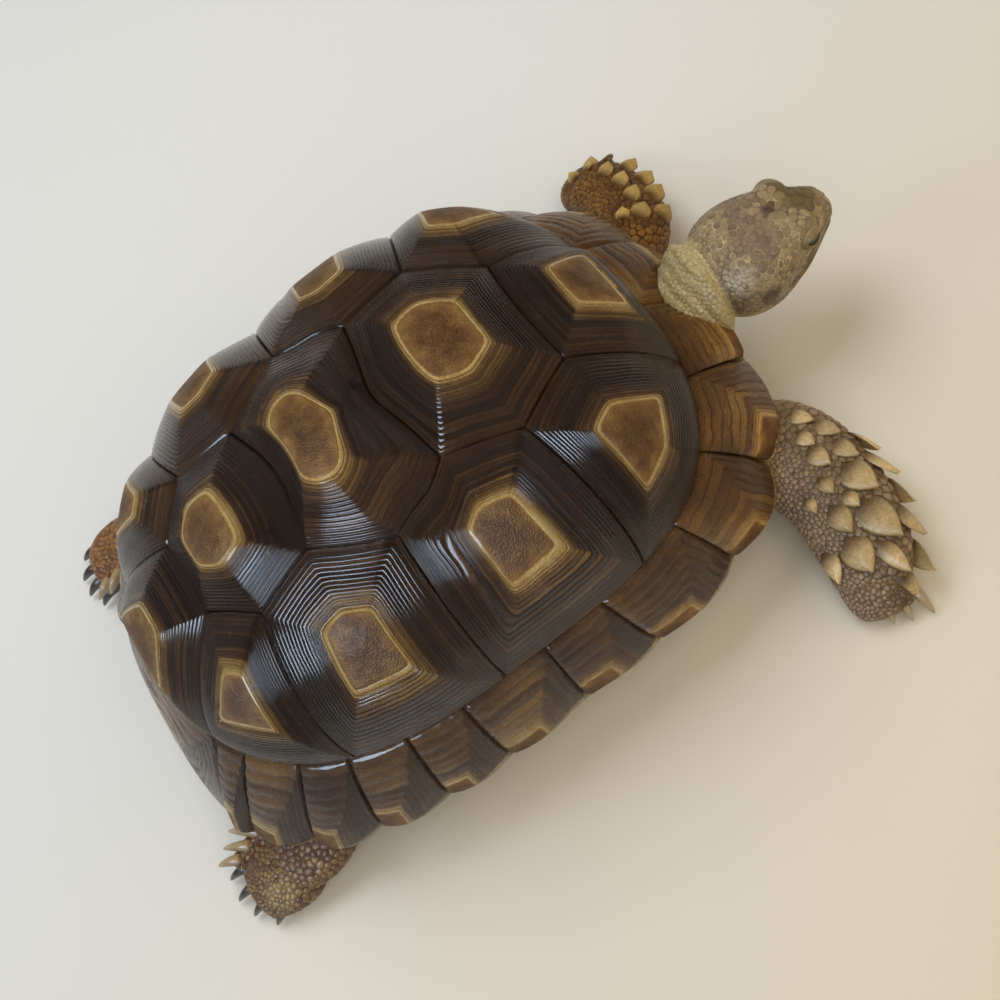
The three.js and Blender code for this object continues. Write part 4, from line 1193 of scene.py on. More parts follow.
def on_axis(points, name):
    """Where points lie on a limb: the share along it, the angle round it and how far out."""
    centre, along, side, up, wide, tall = limb_frames(AXES[name], 0, AXIS_STEPS)
    nearest = np.empty(len(points), int)
    for start in range(0, len(points), BLOCK):
        block = points[start : start + BLOCK]
        away = ((block[:, None] - centre[None]) ** 2).sum(-1)
        nearest[start : start + BLOCK] = away.argmin(1)
    apart = points - centre[nearest]
    a = (apart * side[nearest]).sum(-1) / wide[nearest]
    b = (apart * up[nearest]).sum(-1) / tall[nearest]
    forward = (apart * along[nearest]).sum(-1)
    out = np.sqrt(a**2 + b**2 + (forward / tall[nearest]) ** 2 * 0.6)
    return nearest / (len(centre) - 1), np.arctan2(b, a), out


def in_head(points):
    """How far out points lie in the head, where its surface is at 1."""
    place = to_head(points)
    ahead = place[:, 1]
    rows = np.array(HEAD)
    wide = np.interp(ahead, rows[:, 0], rows[:, 1])
    over, under = np.interp(ahead, rows[:, 0], rows[:, 2]), np.interp(ahead, rows[:, 0], rows[:, 3])
    tall = np.where(place[:, 2] > 0, over, under)
    out = np.hypot(place[:, 0] / wide, place[:, 2] / tall)
    return np.where((ahead > -1.4) & (ahead < 27), out, FAR)


REGIONS = ["trunk", "head", *AXES]
HEAD_REGION = REGIONS.index("head")


def regions_of(points):
    """The index of each point's region, the one whose axis it is nearest to."""
    outs = [np.full(len(points), TRUNK_OUT), in_head(points)]
    outs += [on_axis(points, name)[2] for name in AXES]
    return np.argmin(np.stack(outs), axis=0)


# Colours of the flesh: of a scale, of the groove between scales and of a big scale's pale tip, which is
# partly painted light.
FLESH = {
    # The trunk's dark skin is painted shade under the shell.
    "trunk": ((0.16, 0.1, 0.05), (0.1, 0.06, 0.03), (0.5, 0.4, 0.2)),
    "head": ((0.36, 0.27, 0.155), (0.33, 0.25, 0.14), (0.5, 0.4, 0.2)),
    "neck": ((0.56, 0.46, 0.25), (0.47, 0.37, 0.18), (0.5, 0.4, 0.2)),
    "tail": ((0.26, 0.17, 0.08), (0.1, 0.06, 0.03), (0.5, 0.4, 0.2)),
    "foreleg_right": ((0.31, 0.215, 0.125), (0.17, 0.1, 0.05), (0.6, 0.45, 0.23)),
    "foreleg_left": ((0.22, 0.105, 0.024), (0.08, 0.034, 0.009), (0.46, 0.31, 0.1)),
    "hindleg_right": ((0.27, 0.16, 0.06), (0.1, 0.05, 0.02), (0.5, 0.36, 0.18)),
    "hindleg_left": ((0.32, 0.15, 0.045), (0.13, 0.055, 0.018), (0.5, 0.34, 0.15)),
}
# Some scales are of another colour: its share of them and the colour.
ODD_SCALES = {
    "head": (0.24, (0.225, 0.155, 0.108)),
    "neck": (0.15, (0.46, 0.35, 0.15)),
    "tail": (0.3, (0.12, 0.07, 0.03)),
    "foreleg_right": (0.3, (0.4, 0.29, 0.18)),
    "foreleg_left": (0.35, (0.15, 0.06, 0.02)),
    "hindleg_right": (0.4, (0.13, 0.06, 0.035)),
    "hindleg_left": (0.3, (0.17, 0.075, 0.03)),
}
# Markings of the face, the throat and the legs, and a patch of painted sheen on the head: middle, radius,
# colour and strength.
MARKINGS_AND_SHEEN = [
    ((-4, -79, 32), 7.5, (0.2, 0.125, 0.1), 0.6),
    ((3.5, -82, 32), 5.0, (0.2, 0.13, 0.1), 0.5),
    ((-1.2, -84.2, 34), 2.6, (0.085, 0.04, 0.032), 0.85),
    ((-1.5, -91.5, 32), 6.0, (0.13, 0.092, 0.032), 0.85),
    ((-7.0, -87, 29), 4.4, (0.42, 0.33, 0.13), 0.75),
    ((8.0, -86, 31), 4.2, (0.36, 0.29, 0.14), 0.6),
    ((-10.5, -79, 24), 5.5, (0.34, 0.27, 0.17), 0.6),
    ((-9, -72, 19), 6.5, (0.6, 0.5, 0.24), 0.7),
    ((9, -72, 19), 6.5, (0.6, 0.5, 0.24), 0.7),
    ((-7, -84, 20), 5.5, (0.5, 0.4, 0.2), 0.7),
    ((7, -84, 20), 5.5, (0.5, 0.4, 0.2), 0.7),
    # A pale grey-white patch at the upper back of the head's right side: painted sheen.
    ((-8.5, -71.6, 30.5), 4.0, (0.5, 0.46, 0.36), 0.55),
    ((-10.6, -75.4, 26.0), 4.5, (0.42, 0.34, 0.19), 0.7),
    ((9.6, -75.2, 26.0), 4.5, (0.42, 0.34, 0.19), 0.7),
    ((-12.6, -74.8, 26.2), 2.5, (0.13, 0.085, 0.055), 0.9),
    ((11.6, -74.4, 26.2), 2.5, (0.13, 0.085, 0.055), 0.9),
    ((-26, -56, 15), 8, (0.6, 0.48, 0.33), 0.6),
    ((-42, -54, 13), 8, (0.3, 0.18, 0.11), 0.5),
    ((-65, -57, 5), 7, (0.2, 0.11, 0.045), 0.85),
    ((-36, 62, 10), 7, (0.14, 0.075, 0.05), 0.6),
    ((-41, 72, 8), 4.5, (0.42, 0.3, 0.13), 0.6),
    ((-33, 74, 8), 4, (0.16, 0.09, 0.06), 0.5),
]


def flesh_colour(points, regions, kind):
    """The colour of scales (kind 0) or of grooves (kind 1) at each point."""
    table = np.array([FLESH[name][kind] for name in REGIONS])
    colour = table[regions]
    on_head = regions == HEAD_REGION
    if kind == 1:
        veins = smoothstep(wobble(points, 3.4, 9.0), -0.3, 0.3) * on_head
        colour = colour * (0.55 + 0.45 * ~on_head + 1.15 * veins)[:, None]
    drift = wobble(points, 5.0, 2.0)[:, None]
    for middle, radius, paint, strength in MARKINGS_AND_SHEEN:
        away = np.linalg.norm(points - np.array(middle), axis=1)[:, None]
        share = (1 - smoothstep(away + drift * radius * 0.35, radius * 0.5, radius)) * strength
        shade = np.array(paint) * (1.0 if kind == 0 else 0.75 + 0.4 * on_head[:, None])
        colour = lerp(colour, shade, share)
    return colour * (1 + 0.16 * drift)


# ---- Skin ----


def vertex_normals(points, faces):
    normals = np.zeros_like(points)
    for part in faces:
        corner = points[part]
        if part.shape[1] > 3:
            face = np.cross(corner[:, 2] - corner[:, 0], corner[:, 3] - corner[:, 1])
        else:
            face = np.cross(corner[:, 1] - corner[:, 0], corner[:, 2] - corner[:, 0])
        for k in range(part.shape[1]):
            np.add.at(normals, part[:, k], face)
    return unit(normals)


HIDDEN = {"front": -47, "rear": 50, "roof": 27}  # the trunk past these never shows
NECK_FOLD = {"depth": 0.16, "length": 2.4, "start": -56}
# The skin's sleeve round the back of the head, by how far ahead of the neck's end it lies.
SLEEVE = {"ahead": -3.6, "width": 2.1, "height": 1.4, "groove": 0.5}
# The face, by places in the head's own frame and degrees from the eye's gaze.
EYE_SET = {"place": (5.9, 17.0, 4.6), "radius": 2.5}
LID = {"reach": 62, "hole": 44, "slit": (40, 21), "tilt": -12, "thick": 0.5}
NOSTRIL = {"place": (1.25, 25.6, 3.7), "radius": 0.75, "depth": 0.8}
EARDRUM = {"place": (10.6, 5, 1.2), "size": (2.2, 1.6)}
GAZE = (1.0, 0.36, 0.16)
# The beak's edges as heights over the mouth line, at its corner and at its tip.
BEAK = {"corner": 12.5, "tip": 25.5, "top": (0.4, 2.7), "under": (-0.8, -3.3)}
MOUTH_LINE = -0.15


def beak_share(ahead):
    return np.clip((ahead - BEAK["corner"]) / (BEAK["tip"] - BEAK["corner"]), 0, 1)


def beak_top(ahead):
    return lerp(*BEAK["top"], beak_share(ahead) ** 0.9)


def beak_under(ahead):
    return lerp(*BEAK["under"], beak_share(ahead) ** 0.8)


def head_way(way):
    return unit(from_head([way])[0] - from_head([(0, 0, 0)])[0])


def mouth_share(place, half_width):
    """1 along the mouth, between the lips, and 0 away from it."""
    return np.exp(-(((place[:, 2] - MOUTH_LINE) / half_width) ** 2)) * smoothstep(place[:, 1], 8.5, 10.5)


def sculpted(points, normals):
    """Folds of the neck, its sleeve behind the head, holes for the eyes, nostrils, the eardrums'
    hollows and the mouth's groove."""
    points = points.copy()
    forward = points[:, 1] + 0.12 * np.abs(points[:, 0])
    wave = np.sin(2 * np.pi * (forward + 0.6 * wobble(points, 7.0, 5.0)) / NECK_FOLD["length"])
    zone = smoothstep(-forward, -NECK_FOLD["start"], -NECK_FOLD["start"] + 3)
    zone = zone * (regions_of(points) == REGIONS.index("neck"))
    points += normals * (NECK_FOLD["depth"] * wave * np.abs(wave) ** 0.3 * zone)[:, None]
    place = to_head(points)
    near = np.abs(place[:, 0]) < 13
    rim = np.exp(-(((place[:, 1] - SLEEVE["ahead"]) / SLEEVE["width"]) ** 2)) * SLEEVE["height"]
    gap = np.exp(-(((place[:, 1] - SLEEVE["ahead"] - 2.2) / 0.6) ** 2)) * SLEEVE["groove"]
    points += normals * ((rim - gap) * near)[:, None]
    for side in (-1, 1):
        spot = from_head([sided(EYE_SET["place"], side)])[0]
        gaze = head_way(sided(GAZE, side))
        apart = points - spot
        reach = np.linalg.norm(apart, axis=1)
        angle = np.degrees(np.arccos(np.clip(unit(apart) @ gaze, -1, 1)))
        inward = (angle < LID["hole"]) & (reach < 6) & (reach > 0.5)
        points[inward] = spot + unit(apart[inward]) * 1.7
        hollow = np.linalg.norm(place - sided(NOSTRIL["place"], side), axis=1)
        dent = np.exp(-((hollow / NOSTRIL["radius"]) ** 2)) * NOSTRIL["depth"]
        points -= normals * dent[:, None]
        drum = (place - sided(EARDRUM["place"], side))[:, 1:] / EARDRUM["size"]
        flat = np.exp(-((drum**2).sum(1) ** 2)) * 0.35 * (place[:, 0] * side > 4)
        points -= normals * flat[:, None]
    mouth = mouth_share(place, 0.45)
    points -= normals * (0.6 * mouth * (regions_of(points) == HEAD_REGION))[:, None]
    points[:, 2] = np.maximum(points[:, 2], 0)
    return points


skin_regions = regions_of(skin_points)
hidden = (skin_points[:, 1] > HIDDEN["front"]) & (skin_points[:, 1] < HIDDEN["rear"])
hidden |= (skin_regions == 0) & (skin_points[:, 2] > HIDDEN["roof"])
skin_points, skin_faces = modified(skin_points, skin_faces, thin)
skin_points = sculpted(skin_points, vertex_normals(skin_points, skin_faces))
skin_regions = regions_of(skin_points)
skin_normals = vertex_normals(skin_points, skin_faces)


def skin_material():
    n = Nodes("skin")
    place = n.place()
    tint = n.attribute("tint", "Color")
    colour = n.shaded(tint, n.clouds(place, 500, 4, 0.75, 1.2))
    wrinkle = n.cells(place, 1500, "DISTANCE_TO_EDGE")
    normal = n.bump(n.range(wrinkle, 0.0, 0.3), 0.00012)
    normal = n.grain(place, 1600, 3, 0.00008, normal)
    return n.finish(colour, 0.5, normal, Specular_IOR_Level=0.4)


flesh = skin_material()


def add_skin():
    tint = flesh_colour(skin_points, skin_regions, 1)
    # The skin along the mouth is painted darker: painted shade in the gap between the jaws.
    mouth = mouth_share(to_head(skin_points), 0.5)
    tint = tint * (1 - 0.75 * mouth * (skin_regions == HEAD_REGION))[:, None]
    colours = {"tint": tint}
    add_piece("skin", skin_points, skin_faces, flesh, "skin", FLESH_NODES, colours=colours)


add_skin()


# ---- Coat of scales ----

TREE = BVHTree.FromPolygons(
    [tuple(p) for p in skin_points], [tuple(f) for part in skin_faces for f in part.tolist()]
)
PATCH = 0.003  # the size of a scale's patch on the unwrap
PACKING = 0.72  # seeds stay this far apart, as the square of a share of their radii's sum
NEIGHBOURS = 14  # how many seeds limit a scale, counting its own
ROOM = 1.4  # how far a scale may reach, as a share of its radius


def settle(points):
    """The nearest places on the skin and the normals there."""
    found = [TREE.find_nearest(Vector(p)) for p in points]
    return np.array([f[0] for f in found]), np.array([f[1] for f in found])


def spread(points, radii, rng):
    """Picks points that stay about the sum of their radii apart, in a random order."""
    cell = radii.max() * 2
    grid, chosen = {}, []
    order = rng.permutation(len(points))
    keys = np.floor(points / cell).astype(int)
    steps = [(a, b, c) for a in (-1, 0, 1) for b in (-1, 0, 1) for c in (-1, 0, 1)]
    rows, sizes = points.tolist(), radii.tolist()
    for i in order.tolist():
        x, y, z = rows[i]
        ka, kb, kc = keys[i].tolist()
        near = [j for a, b, c in steps for j in grid.get((ka + a, kb + b, kc + c), ())]
        for j in near:
            other = rows[j]
            apart = (x - other[0]) ** 2 + (y - other[1]) ** 2 + (z - other[2]) ** 2
            if apart < (sizes[i] + sizes[j]) ** 2 * PACKING:
                break
        else:
            grid.setdefault((ka, kb, kc), []).append(i)
            chosen.append(i)
    return np.array(chosen)


def tangents(normals, lies):
    """The direction that each scale lies in, kept on the skin, and the one beside it."""
    ahead = unit(lies - normals * (lies * normals).sum(-1, keepdims=True))
    return ahead, np.cross(normals, ahead)


def facing(faces, points, way):
    """Faces turned round where the first of them looks away from way."""
    first = points[faces[0]]
    looks = np.dot(np.cross(first[1] - first[0], first[2] - first[0]), way)
    return faces[:, ::-1] if looks < 0 else faces


def pebbles(seeds, normals, lies, radii, rng, form):
    """Low overlapping scales that fill the skin between the seeds. Returns points, faces and data."""
    count, sides, shares = len(seeds), form["sides"], form["rows"]
    ahead, beside = tangents(normals, lies)
    turn = turns(sides)
    cosine, sine = np.cos(turn), np.sin(turn)
    directions = ahead[:, None] * cosine[None, :, None] + beside[:, None] * sine[None, :, None]
    tree = kdtree.KDTree(count)
    for i, seed in enumerate(seeds):
        tree.insert(Vector(seed), i)
    tree.balance()
    limit = radii[:, None] * ROOM * np.ones((1, sides))
    neighbours = np.array([[f[1] for f in tree.find_n(Vector(seed), NEIGHBOURS)] for seed in seeds])
    # Each scale ends half-way to its neighbours, more or less by their sizes.
    for other in neighbours.T[1:]:
        apart = seeds[other] - seeds
        weight = radii / (radii + radii[other])
        reach = (apart**2).sum(-1) * weight
        closer = (directions * apart[:, None]).sum(-1)
        bound = np.where(closer > 1e-6, reach[:, None] / np.maximum(closer, 1e-6), FAR)
        limit = np.minimum(limit, bound)
    limit = np.minimum(limit, (np.roll(limit, 1, 1) + np.roll(limit, -1, 1)) * 0.62) * form["fill"]
    rise = form["height"] * radii * rng.uniform(0.8, 1.25, count)
    rows = []
    for share in shares:
        flat = seeds[:, None] + directions * (limit * share * (1 + 0.1 * cosine))[..., None]
        on_skin = settle(flat.reshape(-1, 3))[0].reshape(flat.shape)
        dome = rise[:, None] * (1 - share ** form["flat"]) + form["tilt"] * radii[:, None] * cosine * share
        sink = -0.1 if share == 1.0 else 0.0
        rows.append(on_skin + normals[:, None] * (dome + sink)[..., None])
    middle = (seeds + normals * rise[:, None])[:, None]
    points = np.concatenate([np.concatenate(rows, 1), middle], 1).reshape(-1, 3)
    per_scale = len(shares) * sides + 1
    start = (np.arange(count) * per_scale)[:, None, None]
    bands = (grid_faces(len(shares), sides, True)[None] + start).reshape(-1, 4)
    fans = (fan_faces(0, sides, per_scale - 1, True)[None] + start).reshape(-1, 3)
    bands, fans = facing(bands, points, normals[0]), facing(fans, points, normals[0])
    spot = np.stack([np.outer(shares, cosine).ravel(), np.outer(shares, sine).ravel()], -1)
    spot = np.vstack([spot, [[0, 0]]])
    edge = np.concatenate([np.repeat(shares, sides), [0]])
    return points, [bands, fans], {
        "owner": np.repeat(np.arange(count), per_scale),
        "edge": np.tile(edge, count),
        "spot": np.tile(spot, (count, 1)),
    }


LEAF_ROWS, LEAF_COLUMNS = 14, 11
LEAF_THICKNESS = 0.8
LEAF_WIDEST = 0.34  # as a share of its length
LEAF_ROOT = 0.4  # how far behind its middle a leaf's root lies, as a share of its length


def leaf(root, normal, lie, length, width, lift, blunt):
    """A pointed keeled scale that grows from its root and overlaps what lies beyond it."""
    ahead, beside = tangents(normal[None], lie[None])
    ahead, beside = ahead[0], beside[0]
    t = np.linspace(0, 1, LEAF_ROWS)[:, None]
    s = np.linspace(-1, 1, LEAF_COLUMNS)[None, :]
    behind = (LEAF_WIDEST - np.minimum(t, LEAF_WIDEST)) / 0.38
    base = np.sqrt(np.clip(1 - behind**2, 0, 1))
    point = 1 - np.clip((t - LEAF_WIDEST) / (1 - LEAF_WIDEST), 0, 1) ** blunt
    half = width * np.maximum(base * point, 0.04)
    crest = 0.4 + 0.6 * np.sin(np.pi * np.clip(t * 0.8 + 0.15, 0, 1))
    keel = LEAF_THICKNESS * (1 - np.abs(s) ** 1.7) * crest
    rise = lift * t**1.2 - 0.4 * (1 - t) ** 2
    curl = -0.16 * width * (s**2)
    flat = root + ahead * ((t - 0.1) * length)[..., None] + beside * (half * s)[..., None]
    growth = 0.05 * LEAF_THICKNESS * np.sin(t * 34 + np.abs(s) * 5) * (1 - np.abs(s))
    top = flat + normal * (rise + keel + growth + curl)[..., None]
    belly = 0.25 * LEAF_THICKNESS * (1 - s**2) + 0.02
    under = flat + normal * (rise + curl - belly)[..., None]
    points, faces = capped(list(np.concatenate([top, under[:, -2:0:-1]], axis=1)))
    shape = (LEAF_ROWS, 2 * LEAF_COLUMNS - 2)
    across = np.concatenate([s, s[:, -2:0:-1]], 1)
    below = np.arange(shape[1]) >= LEAF_COLUMNS
    along = np.broadcast_to(t, shape)
    # edge is 1 underneath and grows towards the sides; the scale material darkens by it, partly as painted
    # shade.
    edge = np.broadcast_to(np.where(below, 1.0, np.abs(across) ** 3), shape)
    spot = np.stack([along * 2 - 1, np.broadcast_to(across, shape)], -1).reshape(-1, 2)
    return points, faces, {
        "edge": np.concatenate([edge.ravel(), [0, 0]]),
        "along": np.concatenate([along.ravel(), [0, 1]]),
        "spot": np.vstack([spot, [[-1.0, 0.0], [1.0, 0.0]]]),
    }


# Big pointed scales: middle, direction it lies in, length, half width and how far its tip lifts.
LEAVES = {
    "foreleg_right": [
        ((-47.3, -65.3, 14), (-0.95, -0.3, 0), 7.4, 3.6, 0.9),
        ((-55.3, -63.2, 12), (-0.97, -0.2, -0.1), 9.4, 3.8, 1.0),
        ((-61.8, -60.9, 10), (-0.97, -0.15, -0.2), 7.6, 2.1, 0.9),
        ((-58.4, -57.0, 11), (-0.98, 0.0, -0.2), 7.2, 3.4, 0.9),
        ((-51.6, -58.4, 13), (-0.99, 0.0, 0), 5.8, 2.7, 0.7),
        ((-57.0, -52.0, 10), (-0.97, 0.15, -0.2), 5.8, 2.5, 0.7),
        ((-40.6, -62.2, 16), (-0.95, -0.25, 0), 4.8, 2.3, 0.6),
        ((-41.9, -66.9, 15), (-0.93, -0.3, 0), 5.2, 2.4, 0.7),
        ((-31.8, -65.6, 18), (-0.9, -0.4, 0), 4.6, 2.3, 0.5),
        ((-36.6, -67.2, 16), (-0.9, -0.4, 0), 5.2, 2.4, 0.6),
        ((-45.6, -60.0, 15.5), (-0.98, 0, 0), 3.8, 1.8, 0.5),
        ((-36.4, -62.6, 17), (-0.95, -0.2, 0), 4.0, 2.0, 0.5),
        ((-50.2, -61.8, 14.4), (-0.98, -0.1, 0), 3.8, 1.8, 0.5),
        ((-46.6, -55.6, 15), (-0.98, 0.1, 0), 3.2, 1.5, 0.4),
        ((-41.5, -69.4, 11), (-0.92, -0.35, 0), 6.0, 2.6, 1.3),
        ((-46.6, -68.9, 11), (-0.92, -0.35, 0), 6.8, 2.8, 1.5),
        ((-52.0, -68.0, 9), (-0.93, -0.3, 0), 6.4, 2.5, 1.5),
        ((-57.2, -66.3, 9), (-0.93, -0.3, 0), 6.8, 2.7, 1.6),
        ((-63.0, -64.2, 7), (-0.93, -0.3, -0.1), 7.0, 2.5, 1.6),
        ((-66.2, -60.6, 6.5), (-0.95, -0.2, -0.2), 5.6, 2.0, 0.9),
        ((-49.0, -68.5, 6.5), (-0.93, -0.3, 0), 5.0, 2.2, 1.2),
        ((-56.0, -66.5, 5), (-0.93, -0.3, 0), 5.0, 2.2, 1.2),
        ((-44.0, -69.0, 7.5), (-0.93, -0.3, 0), 5.0, 2.2, 1.2),
    ],
    "foreleg_left": [
        ((24.6, -72.6, 12.4), (0.25, -0.95, 0), 4.6, 2.3, 0.9),
        ((29.6, -74.2, 12), (0.2, -0.97, 0), 5.0, 2.5, 1.0),
        ((34.8, -74.8, 11), (0.15, -0.98, 0), 5.2, 2.5, 1.1),
        ((40.0, -74.6, 10), (0.15, -0.98, 0), 5.0, 2.4, 1.1),
        ((45.0, -73.4, 8.6), (0.3, -0.95, 0), 4.6, 2.2, 0.9),
        ((49.0, -71.0, 6.6), (0.7, -0.7, 0), 4.0, 1.9, 0.8),
        ((26.4, -70.2, 16), (0.4, -0.9, 0), 4.6, 2.4, 0.6),
        ((31.6, -71.6, 16), (0.3, -0.95, 0), 4.4, 2.2, 0.6),
        ((36.8, -72.0, 15), (0.3, -0.95, 0), 4.4, 2.2, 0.6),
        ((41.8, -71.4, 13), (0.4, -0.9, 0), 4.2, 2.1, 0.6),
        ((46.2, -69.4, 10.5), (0.7, -0.7, -0.1), 3.8, 1.9, 0.5),
        ((28.4, -67.0, 17), (0.8, -0.6, 0), 3.6, 1.8, 0.4),
        ((49.4, -66.6, 7.6), (1, 0, -0.3), 3.4, 1.6, 0.5),
        ((29.0, -74.0, 7), (0.2, -0.97, 0), 4.6, 2.3, 0.9),
        ((35.0, -74.8, 6.4), (0.15, -0.98, 0), 4.6, 2.3, 0.9),
        ((41.0, -74.2, 5.6), (0.2, -0.97, 0), 4.4, 2.2, 0.9),
    ],
}
# Painted shade: small scales in the gaps between leaves are darkened by this share.
SHADE_BETWEEN_LEAVES = 0.7  # how dark the small scales between leaves are
FIRST_DRAW = 40  # the first region's random seed
SHADES = {"neck": 0.06, "other": 0.18}  # how far the scales' shades differ
# How blunt leaves are, and how much longer and higher than the numbers above.
LEAF_BLUNTNESS = {"foreleg_right": 2.1, "foreleg_left": 4.5}
LEAF_GROWTH = {"foreleg_right": (1.12, 1.4), "foreleg_left": (0.95, 1.2)}
# The scales' form: sides, rows from the middle out, height and lean as shares of the radius, how
# flat the top is and how much of its room each fills.
FORM = {
    "head": dict(sides=11, rows=(0.4, 0.75, 0.93, 1.0), height=0.12, tilt=0.05, flat=3.4, fill=0.98),
    "neck": dict(sides=8, rows=(0.55, 0.9, 1.0), height=0.055, tilt=0.03, flat=3.0, fill=1.0),
    "limb": dict(sides=11, rows=(0.4, 0.75, 0.93, 1.0), height=0.32, tilt=0.16, flat=2.6, fill=0.97),
}


def scale_radii(points, ways, region):
    """How big the small scales are: least on the face, neck and feet."""
    if region == "head":
        place = to_head(points)
        radii = np.full(len(points), 0.55)
        radii += 0.26 * smoothstep(place[:, 2], 5, 7) * smoothstep(place[:, 1], 4, 7)
        radii += 0.34 * smoothstep(place[:, 1], 17, 19) * smoothstep(place[:, 2], 4.5, 6)
        lump = wobble(points, 1.5, 9.0)
        return radii * (1 + 0.5 * lump)
    if region == "neck":
        return np.full(len(points), 0.46)
    s, angle, _ = on_axis(points, region)
    if region == "tail":
        return np.full(len(points), 0.7)
    if "hind" in region:
        radii = np.full(len(points), 0.66)
    else:
        forward = np.cos(angle) * (1 if "right" in region else -1)
        radii = lerp(0.5, 0.86, smoothstep(forward, -0.2, 0.8))
    radii = lerp(radii, 0.46, smoothstep(s, 0.66, 0.82))
    return radii * np.where(ways[:, 2] < -0.6, 0.85, 1.0) * (1 + 0.25 * wobble(points, 2.4, 4.0))


def bare(points, region):
    """Where the head carries no scales: its beak, nostrils, eardrums and lids."""
    if region != "head":
        return np.zeros(len(points), bool)
    place = to_head(points)
    side = np.sign(place[:, :1]) * np.array([[1, 0, 0]]) + np.array([[0, 1, 1]])
    height = place[:, 2]
    found = (height < beak_top(place[:, 1])) & (height > beak_under(place[:, 1]))
    found &= place[:, 1] > BEAK["corner"]
    drum = (place - np.array(EARDRUM["place"]) * side)[:, 1:] / EARDRUM["size"]
    found |= (drum**2).sum(1) < 1
    found |= np.linalg.norm(place - np.array(NOSTRIL["place"]) * side, axis=1) < 1.0
    found |= np.linalg.norm(place - np.array(EYE_SET["place"]) * side, axis=1) < 2.2
    return found


def scale_material():
    n = Nodes("scales")
    place = n.place()
    tint = n.attribute("tint", "Color")
    edge = n.attribute("edge")
    streaks = n.noise(place, 1500, 3)
    shade = n.range(streaks, 0.3, 0.7, 0.8, 1.18)
    colour = n.shaded(tint, shade)
    crackle = n.range(n.cells(place, 1900, "DISTANCE_TO_EDGE"), 0.02, 0.12, 0.8, 1.0)
    colour = n.shaded(colour, crackle)
    # Darker towards each scale's rim, and on a leaf's sides and underside: partly the scales' own darker
    # outlines, partly painted shade where scales meet and overlap.
    rim = n.range(edge, 0.8, 1.0, 0.0, 0.5)
    colour = n.mix(rim, colour, n.shaded(colour, (0.42, 0.34, 0.28)))
    normal = n.bump(n.plus(streaks, crackle), 0.00006)
    normal = n.grain(place, 4200, 2, 0.00003, normal)
    return n.finish(colour, 0.42, normal, Specular_IOR_Level=0.45)


def lie_at(points, region):
    """Which way scales lie: down the limb, and backwards over the head and neck."""
    if region == "head":
        return np.zeros_like(points) + head_way((0, -1, 0))
    along = limb_frames(AXES[region], 0, AXIS_STEPS)[1]
    s = on_axis(points, region)[0]
    way = along[np.round(s * (len(along) - 1)).astype(int)]
    return -way if region == "neck" else way


UNWRAP_MARGIN = 0.02


def root_place(points, region):
    """Roots on the unwrap of a limb: round it and along it."""
    if region == "head":
        place = to_head(points)
        s, angle = (place[:, 1] + 3) / 30, np.arctan2(place[:, 2], place[:, 0])
    else:
        s, angle, _ = on_axis(points, region)
        jitter = (points @ np.array([12.9, 78.2, 37.7])) % 1
        s = s + (jitter - 0.5) * 0.02
    places = np.stack([angle / (2 * np.pi) + 0.5, np.clip(s, 0, 1)], -1)
    return lerp(UNWRAP_MARGIN, 1 - UNWRAP_MARGIN, places)


